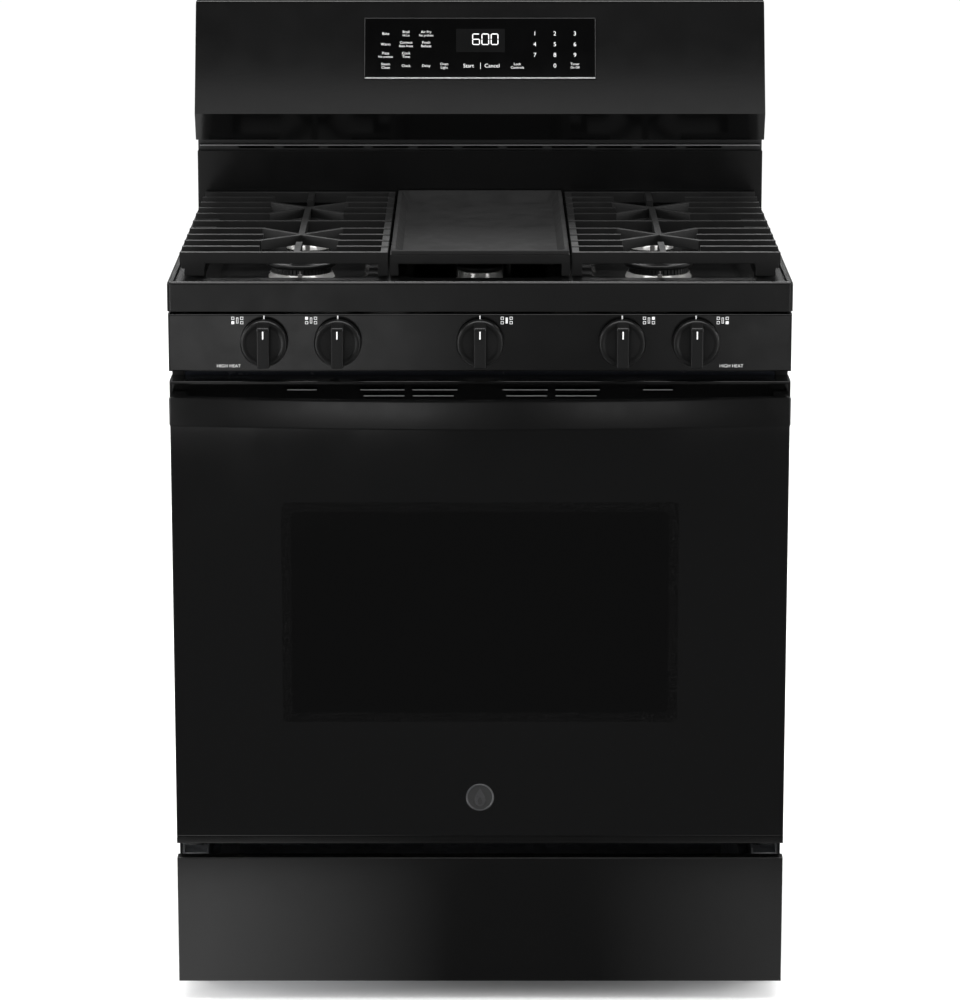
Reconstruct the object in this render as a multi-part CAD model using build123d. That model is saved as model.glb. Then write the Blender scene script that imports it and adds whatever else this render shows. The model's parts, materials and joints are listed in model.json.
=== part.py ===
"""A 30-inch freestanding gas range with five burners, a griddle and a back-mounted control head.

Millimetres. +X is the range's right as seen from the front, +Y runs to the back and +Z is up.
The origin is on the floor, in the middle of the range's width and depth.
Every sub-part is written as one STEP file whose name is the sub-part's name.
"""
import os
from math import atan2, cos, degrees, hypot

from build123d import *

# --- Driving dimensions -----------------------------------------------------------------------
TOP_WIDTH = 759.0  # cooktop and control head
BODY_WIDTH = 756.0  # side panels, door and drawer
DEPTH = 730.0  # handle to rear cover
HEIGHT = 1190.0
HANDLE_REACH = 65.0  # middle of the handle, in front of the door glass

FRONT_Y = -DEPTH / 2 + HANDLE_REACH  # plane of the door glass, drawer, panel and cooktop edge
BACK_Y = DEPTH / 2
HALF_TOP = TOP_WIDTH / 2
HALF_BODY = BODY_WIDTH / 2
SHEET = 1.5  # steel sheet

DRAWER_Z = (24.0, 186.0)
DOOR_Z = (205.0, 792.0)
PANEL_Z = (804.0, 875.0)
COOKTOP_Z = (878.0, 914.0)
DOOR_BACK_Y = FRONT_Y + 46
FRAME_Y = DOOR_BACK_Y + 4  # face of the oven's front frame
REAR_SHEET_Y = BACK_Y - 4  # front of the rear panel's sheet

OVEN_HALF = 305.0
OVEN_Z = (268.0, 716.0)
OVEN_BACK_Y = 236.0
DECK_Z = (194.5, 196.0)  # heat shield between the drawer and the oven's burner

HINGE_Y = FRONT_Y + 30
HINGE_Z = 225.0
HINGE_X = 345.0
PIN_R = 3.0
RUNNING_GAP = 0.05  # radial gap of a shaft that turns

KNOB_X = (-262.0, -172.5, 0.0, 172.5, 262.0)
KNOB_Z = 841.0
KNOB_NAMES = ("front_left", "rear_left", "centre", "rear_right", "front_right")
STEM_R = 3.0

BURNER_X = 224.5
BURNER_R = (42.0, 29.0)  # burner heads of the front row and the rear row
OVAL_Y = (FRONT_Y + 144, FRONT_Y + 474)
OVAL_HALF = 30.0
PAN_FLOOR_Z = 886.0
LEDGE_Z = 909.0  # flat of the cooktop that the grates stand on

GRATE_TOP_Z = 940.0
GRATE_Y = (FRONT_Y + 68, FRONT_Y + 562)  # middles of the front and the rear bar
GRATE_MID_Y = (GRATE_Y[0] + GRATE_Y[1]) / 2
BURNER_OFFSET = 112.0  # from the middle of the grates to each row of burners
BURNER_Y = (GRATE_MID_Y - BURNER_OFFSET, GRATE_MID_Y + BURNER_OFFSET)  # front row, rear row
SIDE_GRATE_X = (113.0, 368.0)
BAR = 8.0

RISER_Y = FRONT_Y + 572  # face of the riser behind the cooktop
VENT_Z = (994.0, 1010.0)
HEAD_PROFILE = ((RISER_Y - 8, VENT_Z[1]), (RISER_Y - 26, 1047.0), (RISER_Y + 30, HEIGHT - 4),
                (RISER_Y + 36, HEIGHT), (REAR_SHEET_Y, HEIGHT), (REAR_SHEET_Y, VENT_Z[1]))
FACE_ANGLE = degrees(atan2(HEAD_PROFILE[2][0] - HEAD_PROFILE[1][0], HEAD_PROFILE[2][1] - HEAD_PROFILE[1][1]))

FAN_Z = 500.0
LAMP = (-230.0, 650.0)  # x and z of the oven lamp on the back wall
GAS_INLET = (-180.0, 120.0)  # x and z of the gas inlet
CORD_INLET = (230.0, 120.0)  # x and z of the mains inlet
LEG_X = 361.0
LEG_Y = (-215.0, 320.0)


# --- Shapes used by several sub-parts ---------------------------------------------------------
def block(x0, x1, y0, y1, z0, z1):
    """A box from its lowest corner to its highest corner."""
    return Pos((x0 + x1) / 2, (y0 + y1) / 2, (z0 + z1) / 2) * Box(x1 - x0, y1 - y0, z1 - z0)


def bar_x(radius, x0, x1, y, z):
    """A round bar along X."""
    return Pos((x0 + x1) / 2, y, z) * Rot(0, 90, 0) * Cylinder(radius, x1 - x0)


def bar_y(radius, x, y0, y1, z):
    """A round bar along Y."""
    return Pos(x, (y0 + y1) / 2, z) * Rot(90, 0, 0) * Cylinder(radius, y1 - y0)


def bar_z(radius, x, y, z0, z1):
    """A round bar along Z."""
    return Pos(x, y, (z0 + z1) / 2) * Cylinder(radius, z1 - z0)


def slab_yz(points, x0, x1):
    """A flat outline in the YZ plane, given thickness along X."""
    outline = make_face(Polyline(*[(0, y, z) for y, z in points], close=True))
    return Pos(x0, 0, 0) * extrude(outline, x1 - x0, dir=(1, 0, 0))


def ring_xz(width, height, x, z, corner, band, y0, y1):
    """A flat ring with rounded corners, standing in the XZ plane."""
    outer = RectangleRounded(width, height, corner)
    inner = RectangleRounded(width - 2 * band, height - 2 * band, corner - band)
    return Pos(x, y1, z) * Rot(90, 0, 0) * extrude(outer - inner, y1 - y0)


def pipe(points, radius, bends):
    """A round pipe along straight runs joined by arcs."""
    route = FilletPolyline(*points, radius=bends)
    return sweep(Plane(route @ 0, z_dir=route % 0) * Circle(radius), path=route)


def both_sides(shape):
    """The shape and its mirror image across the range's middle."""
    return [shape, mirror(shape, Plane.YZ)]


def fused(shapes):
    """One solid from shapes that overlap."""
    return shapes[0] + shapes[1:]


# --- Body shell -------------------------------------------------------------------------------
REAR_SCREW_Z = (100.0, 290.0, 480.0, 670.0, 850.0)
REAR_SCREW_X = 367.0
COVER_SCREWS = [(x, z) for x in (-364.0, -122.0, 122.0, 364.0) for z in (1022.0, 1175.0)]
SCREW_R = 1.9
SCREW_HOLE_R = 2.1
FLANGE = 15.0


def rear_screw_holes(spots):
    return [bar_y(SCREW_HOLE_R, x, REAR_SHEET_Y - 20, BACK_Y + 1, z) for x, z in spots]


def panel_screws():
    return [(side * REAR_SCREW_X, z) for side in (-1, 1) for z in REAR_SCREW_Z]


def side_panel(side):
    """A side sheet with a flange folded inwards at the front and at the back."""
    bottom, top = 38.0, COOKTOP_Z[0] - 2
    sheet = block(HALF_BODY - SHEET, HALF_BODY, FRAME_Y, REAR_SHEET_Y, bottom, top)
    front = block(HALF_BODY - FLANGE, HALF_BODY, FRAME_Y, FRAME_Y + SHEET, DOOR_Z[0] + 40, top)
    back = block(HALF_BODY - FLANGE, HALF_BODY, REAR_SHEET_Y - SHEET, REAR_SHEET_Y, bottom, top)
    panel = fused([sheet, front, back])
    if side < 0:
        panel = mirror(panel, Plane.YZ)
    return panel - rear_screw_holes(panel_screws())


REAR_SEAM_Z = 160.0
REAR_PANEL_Z = (62.0, COOKTOP_Z[0] - 2)
GAS_NOTCH_HALF = 22.0


def rear_panel():
    """The sheets that close the back: a louvred one over two that leave room for the gas inlet."""
    gas_x = GAS_INLET[0]
    cord_x, cord_z = CORD_INLET
    low, high = REAR_PANEL_Z
    outer_y = REAR_SHEET_Y + SHEET
    upper = block(-HALF_BODY, HALF_BODY, REAR_SHEET_Y, outer_y, REAR_SEAM_Z + 0.2, high)
    lower_left = block(-HALF_BODY, gas_x - GAS_NOTCH_HALF, REAR_SHEET_Y, outer_y, low, REAR_SEAM_Z)
    lower_right = block(gas_x + GAS_NOTCH_HALF, HALF_BODY, REAR_SHEET_Y, outer_y, low, REAR_SEAM_Z)
    slots = [block(x - 40, x + 40, REAR_SHEET_Y - 1, BACK_Y, z, z + 6)
             for x in (-220, -110, 0, 110, 220) for z in range(740, 840, 20)]
    gland_hole = bar_y(10.2, cord_x, REAR_SHEET_Y - 1, BACK_Y, cord_z)
    screw_holes = rear_screw_holes(panel_screws())
    return [upper - slots - screw_holes, lower_left - screw_holes, lower_right - [gland_hole] - screw_holes]


def base_frame():
    """Side channels on the levelling legs, corner posts, a rear rail and the deck over the drawer."""
    inner, outer = 345.0, HALF_BODY - SHEET - 0.5
    low, rail_top = 22.0, 60.0
    front, back = FRAME_Y + 12, REAR_SHEET_Y - SHEET - 1
    channel = block(inner, outer, front, back, low, rail_top)
    channel -= block(inner + 2, outer - 2, front - 1, back + 1, low + 3, rail_top + 1)
    channel -= [bar_z(5.0, LEG_X, y, low - 1, low + 4) for y in LEG_Y]
    posts = [block(outer - 3, outer, y, y + 30, low, DECK_Z[1]) for y in (front, back - 30)]
    half = fused([channel] + posts)
    rear_rail = block(-outer, outer, back - SHEET, back, low, DECK_Z[1])
    rear_rail -= [block(x - 30, x + 30, back - 4, back + 1, 80, 160) for x in (GAS_INLET[0], CORD_INLET[0])]
    deck = block(-outer, outer, front, back, *DECK_Z)
    deck -= bar_z(14, GAS_INLET[0], 300, DECK_Z[0] - 1, DECK_Z[1] + 1)
    frame = fused([half, mirror(half, Plane.YZ), rear_rail, deck])
    return frame - rear_screw_holes(panel_screws())


def leveling_legs():
    """Four screw legs: a threaded stud on a round pad with a hexagon above it."""
    leg = bar_z(15, 0, 0, 0, 6) + Pos(0, 0, 6) * extrude(RegularPolygon(9, 6), 8)
    leg = leg + bar_z(4.9, 0, 0, 10, 52)
    leg = chamfer(leg.edges().group_by(Axis.Z)[0], 1.5)
    return [Pos(side * LEG_X, y, 0) * leg for side in (-1, 1) for y in LEG_Y]


def front_frame():
    """The enamelled frame around the oven's mouth, behind the door."""
    half, bottom, top = HALF_BODY - FLANGE - 1, DOOR_Z[0] + 35, PANEL_Z[0] - 4
    plate = block(-half, half, FRAME_Y, FRAME_Y + 4, bottom, top)
    mouth = block(-OVEN_HALF, OVEN_HALF, FRAME_Y - 1, FRAME_Y + 5, *OVEN_Z)
    vent = [block(x - 50, x + 50, FRAME_Y - 1, FRAME_Y + 5, top - 30, top - 22) for x in (-180, -60, 60, 180)]
    top_rail = block(-half, half, FRAME_Y + 3, FRAME_Y + 22, top - 3, top)
    return plate - mouth - vent + top_rail


def door_gasket():
    """The woven seal around the oven's mouth."""
    centre_z = (OVEN_Z[0] + OVEN_Z[1]) / 2
    width, height = 2 * OVEN_HALF + 40, OVEN_Z[1] - OVEN_Z[0] + 40
    return ring_xz(width, height, 0, centre_z, 26, 9, DOOR_BACK_Y + 0.4, FRAME_Y)


# --- Oven -------------------------------------------------------------------------------------
RIB_Z = (330.0, 384.0, 438.0, 492.0, 546.0, 600.0)
RACK_Z = (RIB_Z[1] + 7.5, RIB_Z[4] + 7.5)
RIB_DEPTH = 7.0


def oven_liner():
    """The enamelled cavity, open to the front, with ribs that carry the racks."""
    outer = block(-OVEN_HALF - SHEET, OVEN_HALF + SHEET, FRAME_Y + 4, OVEN_BACK_Y + SHEET,
                  OVEN_Z[0] - SHEET, OVEN_Z[1] + SHEET)
    liner = outer - block(-OVEN_HALF, OVEN_HALF, FRAME_Y + 3, OVEN_BACK_Y, *OVEN_Z)
    rib = block(OVEN_HALF - RIB_DEPTH, OVEN_HALF + 0.5, FRAME_Y + 30, OVEN_BACK_Y - 30, -3, 3)
    ribs = [Pos(0, 0, z) * rib for z in RIB_Z]
    liner = fused([liner] + ribs + [mirror(piece, Plane.YZ) for piece in ribs])
    liner -= bar_y(9, 0, OVEN_BACK_Y - 1, OVEN_BACK_Y + 3, FAN_Z)
    return liner - bar_y(17, LAMP[0], OVEN_BACK_Y - 1, OVEN_BACK_Y + 3, LAMP[1])


def oven_insulation():
    """The mineral wool over the top, the sides and the back of the liner."""
    gap = SHEET + 0.5
    wool = block(-345, 345, FRAME_Y + 26, 270, OVEN_Z[0] - gap, 756)
    wool -= block(-OVEN_HALF - gap, OVEN_HALF + gap, FRAME_Y, OVEN_BACK_Y + gap,
                  OVEN_Z[0] - 9, OVEN_Z[1] + gap)
    wool -= bar_y(12, 0, OVEN_BACK_Y, 280, FAN_Z)
    return wool - bar_y(20, LAMP[0], OVEN_BACK_Y, 280, LAMP[1])


def bake_burner():
    """The tube burner under the oven floor, fed from the back."""
    tube_z = 230.0
    points = [(-95, 210, tube_z), (-95, -170, tube_z), (95, -170, tube_z), (95, 210, tube_z)]
    loop = pipe(points, 9, 40)
    crossbar = bar_x(8, -95, 95, 150, tube_z)
    feet = [block(x - 8, x + 8, y - 2, y + 2, DECK_Z[1], tube_z) for x in (-95, 95) for y in (-100, 100)]
    return fused([loop, crossbar] + feet)


def broil_burner():
    """The loop burner under the cavity's roof, on hangers."""
    tube_z = OVEN_Z[1] - 26
    points = [(-150, 180, tube_z), (-150, -170, tube_z), (150, -170, tube_z), (150, 180, tube_z)]
    loop = pipe(points, 6, 50)
    crossbars = [bar_x(5, -150, 150, y, tube_z) for y in (-60, 60)]
    hangers = [block(x - 8, x + 8, y - 1, y + 1, tube_z, OVEN_Z[1]) for x in (-150, 150) for y in (-100, 140)]
    return fused([loop] + crossbars + hangers)


def oven_rack(z):
    """A wire rack: a round-bar frame, stiffening bars and thin wires that run front to back."""
    half, front, back = OVEN_HALF - 4, FRAME_Y + 34, 186.0
    bars = [bar_y(3, side * (half - 3), front, back, z) for side in (-1, 1)]
    bars += [bar_x(3, -half + 3, half - 3, y, z) for y in (front + 3, -20, back - 3)]
    wires = 17
    pitch = (2 * half - 6) / (wires + 1)
    bars += [bar_y(2, -half + 3 + pitch * (i + 1), front + 3, back - 3, z + 3) for i in range(wires)]
    stop = block(-half + 3, half - 3, back - 5, back - 1, z, z + 22)
    stop -= block(-half + 8, half - 8, back - 6, back, z + 5, z + 17)
    return fused(bars + [stop])


def oven_racks():
    return [oven_rack(z) for z in RACK_Z]


def fan_cover():
    """The pressed cover over the convection fan, with an intake grille and side outlets."""
    half, low, high = 120.0, FAN_Z - 105, FAN_Z + 105
    face_y = 196.0
    cover = block(-half, half, face_y, OVEN_BACK_Y, low, high)
    cover = fillet(cover.edges().filter_by(Axis.Y), 18)
    cover -= block(-half + SHEET, half - SHEET, face_y + SHEET, OVEN_BACK_Y + 1, low + SHEET, high - SHEET)
    intake = [block(x - 3, x + 3, face_y - 1, face_y + 3, FAN_Z - reach, FAN_Z + reach)
              for x, reach in [(i * 14, 52 * cos(i * 0.3)) for i in range(-3, 4)]]
    outlets = [block(side * half - 3, side * half + 3, face_y + 8, OVEN_BACK_Y - 10, z - 6, z + 6)
               for side in (-1, 1) for z in (FAN_Z - 60, FAN_Z - 30, FAN_Z, FAN_Z + 30, FAN_Z + 60)]
    return cover - intake - outlets


def convection_fan():
    """The fan wheel on its shaft: a backplate and straight blades."""
    plate_y = 226.0
    wheel = bar_y(72, 0, plate_y, plate_y + 2, FAN_Z) + bar_y(10, 0, 208, plate_y, FAN_Z)
    blade = block(24, 70, 206, plate_y + 1, -1, 1)
    blades = [Pos(0, 0, FAN_Z) * Rot(0, angle, 0) * blade for angle in range(0, 360, 36)]
    shaft = bar_y(4, 0, plate_y, 300, FAN_Z)
    return fused([wheel, shaft] + blades)


def fan_motor():
    """The fan's motor behind the oven, with the bearing that the shaft turns in."""
    motor = bar_y(38, 0, 274, 316, FAN_Z) + bar_y(14, 0, 271, 275, FAN_Z)
    ears = block(-62, 62, 274, 276, FAN_Z - 12, FAN_Z + 12)
    return motor + ears - bar_y(4 + RUNNING_GAP, 0, 270, 302, FAN_Z)


def oven_lamp():
    """The lamp's glass cover on the oven's back wall, with its holder behind the wall."""
    lens = bar_y(26, LAMP[0], OVEN_BACK_Y - 12, OVEN_BACK_Y, LAMP[1])
    lens = fillet(lens.edges().group_by(Axis.Y)[0], 8)
    return lens + bar_y(15, LAMP[0], OVEN_BACK_Y - 1, 284, LAMP[1])


# --- Oven door --------------------------------------------------------------------------------
HINGE_POCKET = (7.0, 11.0, 19.0)  # half width, in front of the pin, above the pin


def hinge_pockets():
    half, ahead, above = HINGE_POCKET
    pocket = block(HINGE_X - half, HINGE_X + half, HINGE_Y - ahead, DOOR_BACK_Y + 1,
                   DOOR_Z[0] - 1, HINGE_Z + above)
    return both_sides(pocket)


def door_liner():
    """The door's steel tray, open to the front, with its window and its hinge blocks."""
    half, low, high = HALF_BODY - 2, DOOR_Z[0] + 3, DOOR_Z[1] - 4
    front, upper_front = FRONT_Y + 4, FRONT_Y + 10.5
    tray = block(-half, half, front, DOOR_BACK_Y, low, high)
    tray = fillet(tray.edges().filter_by(Axis.Y), 5)
    tray -= block(-half + SHEET, half - SHEET, front - 1, DOOR_BACK_Y - SHEET, low + SHEET, high - SHEET)
    tray -= block(-HALF_BODY, HALF_BODY, FRONT_Y, upper_front, GLASS_Z[1], DOOR_Z[1])
    window = Pos(0, DOOR_BACK_Y, 500) * Rot(90, 0, 0) * extrude(RectangleRounded(430, 300, 20), 10, both=True)
    blocks = both_sides(block(HINGE_X - 17, HINGE_X + 17, FRONT_Y + 12, DOOR_BACK_Y, low, HINGE_Z + 25))
    pins = [bar_x(PIN_R, side * HINGE_X - 14, side * HINGE_X + 14, HINGE_Y, HINGE_Z) for side in (-1, 1)]
    return fused([tray - window] + blocks) - hinge_pockets() - pins


def hinge_pins():
    return [bar_x(PIN_R, side * HINGE_X - 14, side * HINGE_X + 14, HINGE_Y, HINGE_Z) for side in (-1, 1)]


def hinge_arms():
    """The two arms that the door's pins turn in, with the boxes that hold them in the chassis."""
    thick = 4.0
    arm = block(HINGE_X - thick, HINGE_X + thick, HINGE_Y, FRAME_Y + 14, HINGE_Z - 8, HINGE_Z + 8)
    eye = bar_x(9, HINGE_X - thick, HINGE_X + thick, HINGE_Y, HINGE_Z)
    holder = block(HINGE_X - 9, HINGE_X + 9, FRAME_Y + 12, FRAME_Y + 70, DECK_Z[1], HINGE_Z + 13)
    arm = fused([arm, eye, holder])
    arm -= bar_x(PIN_R + RUNNING_GAP, HINGE_X - thick - 1, HINGE_X + thick + 1, HINGE_Y, HINGE_Z)
    return both_sides(arm)


GLASS_Z = (DOOR_Z[0] + 9, 752.0)


def door_glass():
    """The full-width outer glass."""
    pane = block(-HALF_BODY, HALF_BODY, FRONT_Y, FRONT_Y + 4, *GLASS_Z)
    return chamfer(pane.edges().group_by(Axis.Y)[0], 0.8)


def door_inner_glass():
    """The pane against the inside of the door's window."""
    return block(-228, 228, DOOR_BACK_Y - SHEET - 4, DOOR_BACK_Y - SHEET, 336, 664)


DOOR_SLOTS = ((217.0, 36.0, 782.0), (119.0, 54.0, 782.0), (55.0, 55.0, 782.0),
              (117.0, 50.0, 774.5), (57.0, 50.0, 774.5))  # middle from the centre line, length, height


def door_top_trim():
    """The door's top rail: a lip over a set-back face with air slots."""
    face_y = FRONT_Y + 8
    lip = block(-HALF_BODY, HALF_BODY, FRONT_Y, DOOR_BACK_Y - 4, DOOR_Z[1] - 4, DOOR_Z[1])
    lip = fillet(lip.edges().filter_by(Axis.X).group_by(Axis.Y)[0], 1.5)
    face = block(-HALF_BODY, HALF_BODY, face_y, face_y + 2, GLASS_Z[1], DOOR_Z[1] - 3)
    sill = block(-HALF_BODY, HALF_BODY, FRONT_Y, face_y + 1, GLASS_Z[1], GLASS_Z[1] + 2)
    ends = both_sides(block(HALF_BODY - 1.5, HALF_BODY, FRONT_Y, face_y + 2, GLASS_Z[1], DOOR_Z[1] - 3))
    slots = []
    for middle, length, z in DOOR_SLOTS:
        for side in (-1, 1):
            x = side * middle
            slots.append(block(x - length / 2, x + length / 2, face_y - 1, face_y + 3, z - 1.6, z + 1.6))
    return fused([lip, face, sill] + ends) - slots


def door_bottom_trim():
    """The strip under the door glass, notched for the hinge arms."""
    low = DOOR_Z[0]
    lip = block(-HALF_BODY, HALF_BODY, FRONT_Y, FRONT_Y + 4, low, GLASS_Z[0])
    web_half = HALF_BODY - 5  # passes between the side panels as the door turns
    web = block(-web_half, web_half, FRONT_Y, DOOR_BACK_Y - 6, low, low + 2)
    return lip + web - hinge_pockets()


HANDLE_Z = (744.0, 780.0)
HANDLE_HALF = 376.0
HANDLE_THICK = 13.0
HANDLE_END_REACH = 40.0


def bow(offset):
    """The handle's line in plan, moved back from its front face."""
    ends_y = FRONT_Y - HANDLE_END_REACH + offset
    return ThreePointArc((-HANDLE_HALF, ends_y), (0, FRONT_Y - HANDLE_REACH + offset), (HANDLE_HALF, ends_y))


def door_handle():
    """The bowed bar across the door, with an end block at each side that meets the door."""
    front, back = bow(0), bow(HANDLE_THICK)
    ends = [Line(front @ t, back @ t) for t in (0, 1)]
    bar = extrude(make_face([front, back] + ends), HANDLE_Z[1] - HANDLE_Z[0])
    ends_y = FRONT_Y - HANDLE_END_REACH
    feet = both_sides(block(HANDLE_HALF - 20, HANDLE_HALF, ends_y + 8, FRONT_Y, 0, HANDLE_Z[1] - HANDLE_Z[0]))
    handle = Pos(0, 0, HANDLE_Z[0]) * fused([bar] + feet)
    return handle - [block(side * HANDLE_HALF - 14, side * HANDLE_HALF + 14, FRONT_Y - 12, FRONT_Y + 1,
                           HANDLE_Z[0] - 1, HANDLE_Z[0] + 4) for side in (-1, 1)]


def badge():
    """The plain round badge low on the door: a rimmed disc."""
    z, radius = 265.0, 17.4
    disc = bar_y(radius, 0, FRONT_Y - 1.6, FRONT_Y, z)
    return disc - (bar_y(radius - 1.6, 0, FRONT_Y - 2, FRONT_Y - 1, z) - bar_y(5, 0, FRONT_Y - 2, FRONT_Y, z))


# --- Storage drawer ---------------------------------------------------------------------------
DRAWER_HALF = 330.0
DRAWER_BACK_Y = 200.0
RAIL_Z = 148.0  # top of the rails that the drawer's side flanges slide on


def drawer_front():
    """The drawer's front: a folded steel pan."""
    low, high = DRAWER_Z
    pan = block(-HALF_BODY, HALF_BODY, FRONT_Y, FRONT_Y + 18, low, high)
    pan = fillet(pan.edges().group_by(Axis.Y)[0], 1.5)
    return pan - block(-HALF_BODY + SHEET, HALF_BODY - SHEET, FRONT_Y + SHEET, FRONT_Y + 19,
                       low + SHEET, high - SHEET)


def drawer_box():
    """The open tray behind the drawer front, with a sliding flange along each side."""
    low, high, front = 45.0, 165.0, FRONT_Y + SHEET
    tray = block(-DRAWER_HALF, DRAWER_HALF, front, DRAWER_BACK_Y, low, high)
    tray -= block(-DRAWER_HALF + SHEET, DRAWER_HALF - SHEET, front + SHEET, DRAWER_BACK_Y - SHEET,
                  low + SHEET, high + 1)
    flange = block(DRAWER_HALF - 0.5, DRAWER_HALF + 10, FRONT_Y + 20, DRAWER_BACK_Y,
                   RAIL_Z + 0.3, RAIL_Z + 2.3)
    return fused([tray] + both_sides(flange))


def drawer_rails():
    """The angle rails inside the side channels' line that carry the drawer."""
    inner, outer = DRAWER_HALF + 1.5, 345.0
    front, back = FRAME_Y + 14, 240.0
    shelf = block(inner, outer, front, back, RAIL_Z - 2, RAIL_Z)
    wall = block(outer - 2, outer, front, back, RAIL_Z - 2, RAIL_Z + 30)
    tabs = [block(outer - 1, HALF_BODY - SHEET - 3.5, y, y + 30, RAIL_Z + 5, RAIL_Z + 25)
            for y in (front, back - 30)]
    return both_sides(fused([shelf, wall] + tabs))


# --- Cooktop ----------------------------------------------------------------------------------
COOKTOP_BACK_Y = RISER_Y + 5
WELLS = ((-337.0, -138.0), (-92.0, 92.0), (138.0, 337.0))
WELL_Y = (FRONT_Y + 62, FRONT_Y + 536)


def tapered_well(x0, x1, top_z, floor_z, grow):
    """The hollow of one burner well, with sloping sides; grow moves its walls outwards."""
    width, length = x1 - x0 + 2 * grow, WELL_Y[1] - WELL_Y[0] + 2 * grow
    centre = ((x0 + x1) / 2, (WELL_Y[0] + WELL_Y[1]) / 2)
    slope = 9.0
    top = Pos(*centre, top_z) * RectangleRounded(width, length, 18)
    floor = Pos(*centre, floor_z) * RectangleRounded(width - 2 * slope, length - 2 * slope, 18 - slope / 2)
    return loft([floor, top])


def burner_spots():
    """Place and head radius of each round burner."""
    return [(side * BURNER_X, y, r) for side in (-1, 1) for y, r in zip(BURNER_Y, BURNER_R)]


def oval(half, y0, y1, z0, z1):
    """An upright slab with straight sides and half-round ends."""
    length = y1 - y0
    face = SlotOverall(length, 2 * half, rotation=90)
    return Pos(0, (y0 + y1) / 2, z0) * extrude(face, z1 - z0)


def cooktop():
    """The enamelled top: a skirt, a raised rim, a flat ledge and three burner wells."""
    low, high = COOKTOP_Z
    body = block(-HALF_TOP, HALF_TOP, FRONT_Y, COOKTOP_BACK_Y, low, high)
    body = fillet(body.edges().filter_by(Axis.Z).group_by(Axis.Y)[0], 5)
    body = fillet(body.edges().group_by(Axis.Z)[-1], 3)
    ledge = block(-HALF_TOP + 7, HALF_TOP - 7, FRONT_Y + 8, COOKTOP_BACK_Y + 1, LEDGE_Z, high + 1)
    underside = block(-HALF_TOP + SHEET, HALF_TOP - SHEET, FRONT_Y + SHEET, COOKTOP_BACK_Y - SHEET,
                      low - 1, LEDGE_Z - SHEET)
    shell = body - ledge
    for x0, x1 in WELLS:
        shell -= tapered_well(x0, x1, LEDGE_Z, PAN_FLOOR_Z, 0)
        underside -= tapered_well(x0, x1, LEDGE_Z, PAN_FLOOR_Z - SHEET, SHEET)
    shell -= underside
    shell -= [bar_z(r - 10, x, y, low, high) for x, y, r in burner_spots()]
    return shell - oval(OVAL_HALF - 10, OVAL_Y[0] + 10, OVAL_Y[1] - 10, low, high)


HEAD_TOP_Z = 901.0
CAP_GAP = 0.1


def round_head(radius):
    """A burner head: a mixing tube, a flared base and a ring of gas ports."""
    base = bar_z(radius, 0, 0, PAN_FLOOR_Z, PAN_FLOOR_Z + 5)
    base = chamfer(base.edges().group_by(Axis.Z)[-1], 3)
    crown = bar_z(radius - 4, 0, 0, PAN_FLOOR_Z + 4, HEAD_TOP_Z)
    throat = bar_z(radius - 10.5, 0, 0, PAN_FLOOR_Z - 16, PAN_FLOOR_Z + 1)
    tube = bar_z(8, 0, 0, PAN_FLOOR_Z - 30, PAN_FLOOR_Z - 15)
    head = fused([base, crown, throat, tube])
    count = int(radius * 0.7)
    port = block(radius - 9, radius, -1.0, 1.0, HEAD_TOP_Z - 6, HEAD_TOP_Z - 2)
    head -= [Rot(0, 0, i * 360 / count) * port for i in range(count)]
    return head - bar_z(3, 0, 0, PAN_FLOOR_Z - 31, PAN_FLOOR_Z)


def round_burner_heads():
    return [Pos(x, y, 0) * round_head(r) for x, y, r in burner_spots()]


def oval_burner_head():
    """The long middle burner's head, with ports along both sides."""
    front, back = OVAL_Y
    base = oval(OVAL_HALF, front, back, PAN_FLOOR_Z, PAN_FLOOR_Z + 5)
    crown = oval(OVAL_HALF - 4, front + 4, back - 4, PAN_FLOOR_Z + 4, HEAD_TOP_Z)
    throat = oval(OVAL_HALF - 10.5, front + 10.5, back - 10.5, PAN_FLOOR_Z - 16, PAN_FLOOR_Z + 1)
    ports = [block(-OVAL_HALF, OVAL_HALF, y - 1, y + 1, HEAD_TOP_Z - 6, HEAD_TOP_Z - 2)
             for y in range(int(front) + 34, int(back) - 30, 9)]
    core = oval(OVAL_HALF - 9, front + 9, back - 9, PAN_FLOOR_Z + 5, HEAD_TOP_Z)
    return fused([base, crown, throat]) - [port - core for port in ports]


def round_cap(radius):
    """A burner cap: a shallow domed disc with a lowered middle."""
    cap = bar_z(radius, 0, 0, HEAD_TOP_Z + CAP_GAP, HEAD_TOP_Z + 7)
    cap = fillet(cap.edges().group_by(Axis.Z)[-1], 3)
    return cap - bar_z(radius * 0.6, 0, 0, HEAD_TOP_Z + 6.2, HEAD_TOP_Z + 8)


def round_burner_caps():
    return [Pos(x, y, 0) * round_cap(r + 1) for x, y, r in burner_spots()]


def oval_burner_cap():
    cap = oval(OVAL_HALF - 1, OVAL_Y[0] + 1, OVAL_Y[1] - 1, HEAD_TOP_Z + CAP_GAP, HEAD_TOP_Z + 6)
    return fillet(cap.edges().group_by(Axis.Z)[-1], 2.5)


def igniters():
    """The spark electrodes beside the burner heads."""
    places = [(x, y - r - 6) for x, y, r in burner_spots()] + [(OVAL_HALF + 6, (OVAL_Y[0] + OVAL_Y[1]) / 2)]
    sleeve = bar_z(3, 0, 0, PAN_FLOOR_Z, PAN_FLOOR_Z + 11)
    pin = sleeve + bar_z(1.1, 0, 0, PAN_FLOOR_Z + 10, PAN_FLOOR_Z + 15)
    return [Pos(x, y, 0) * pin for x, y in places]


# --- Grates and griddle -----------------------------------------------------------------------
BAR_OFFSETS = (0.0, 61.0, 110.0, 157.0, 202.0, 247.0)  # bars each side of the grate's middle bar
CROSS_HALF = 47.5  # half the width that a crossing takes out of the straight bars
BAR_Z0 = 926.0


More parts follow.
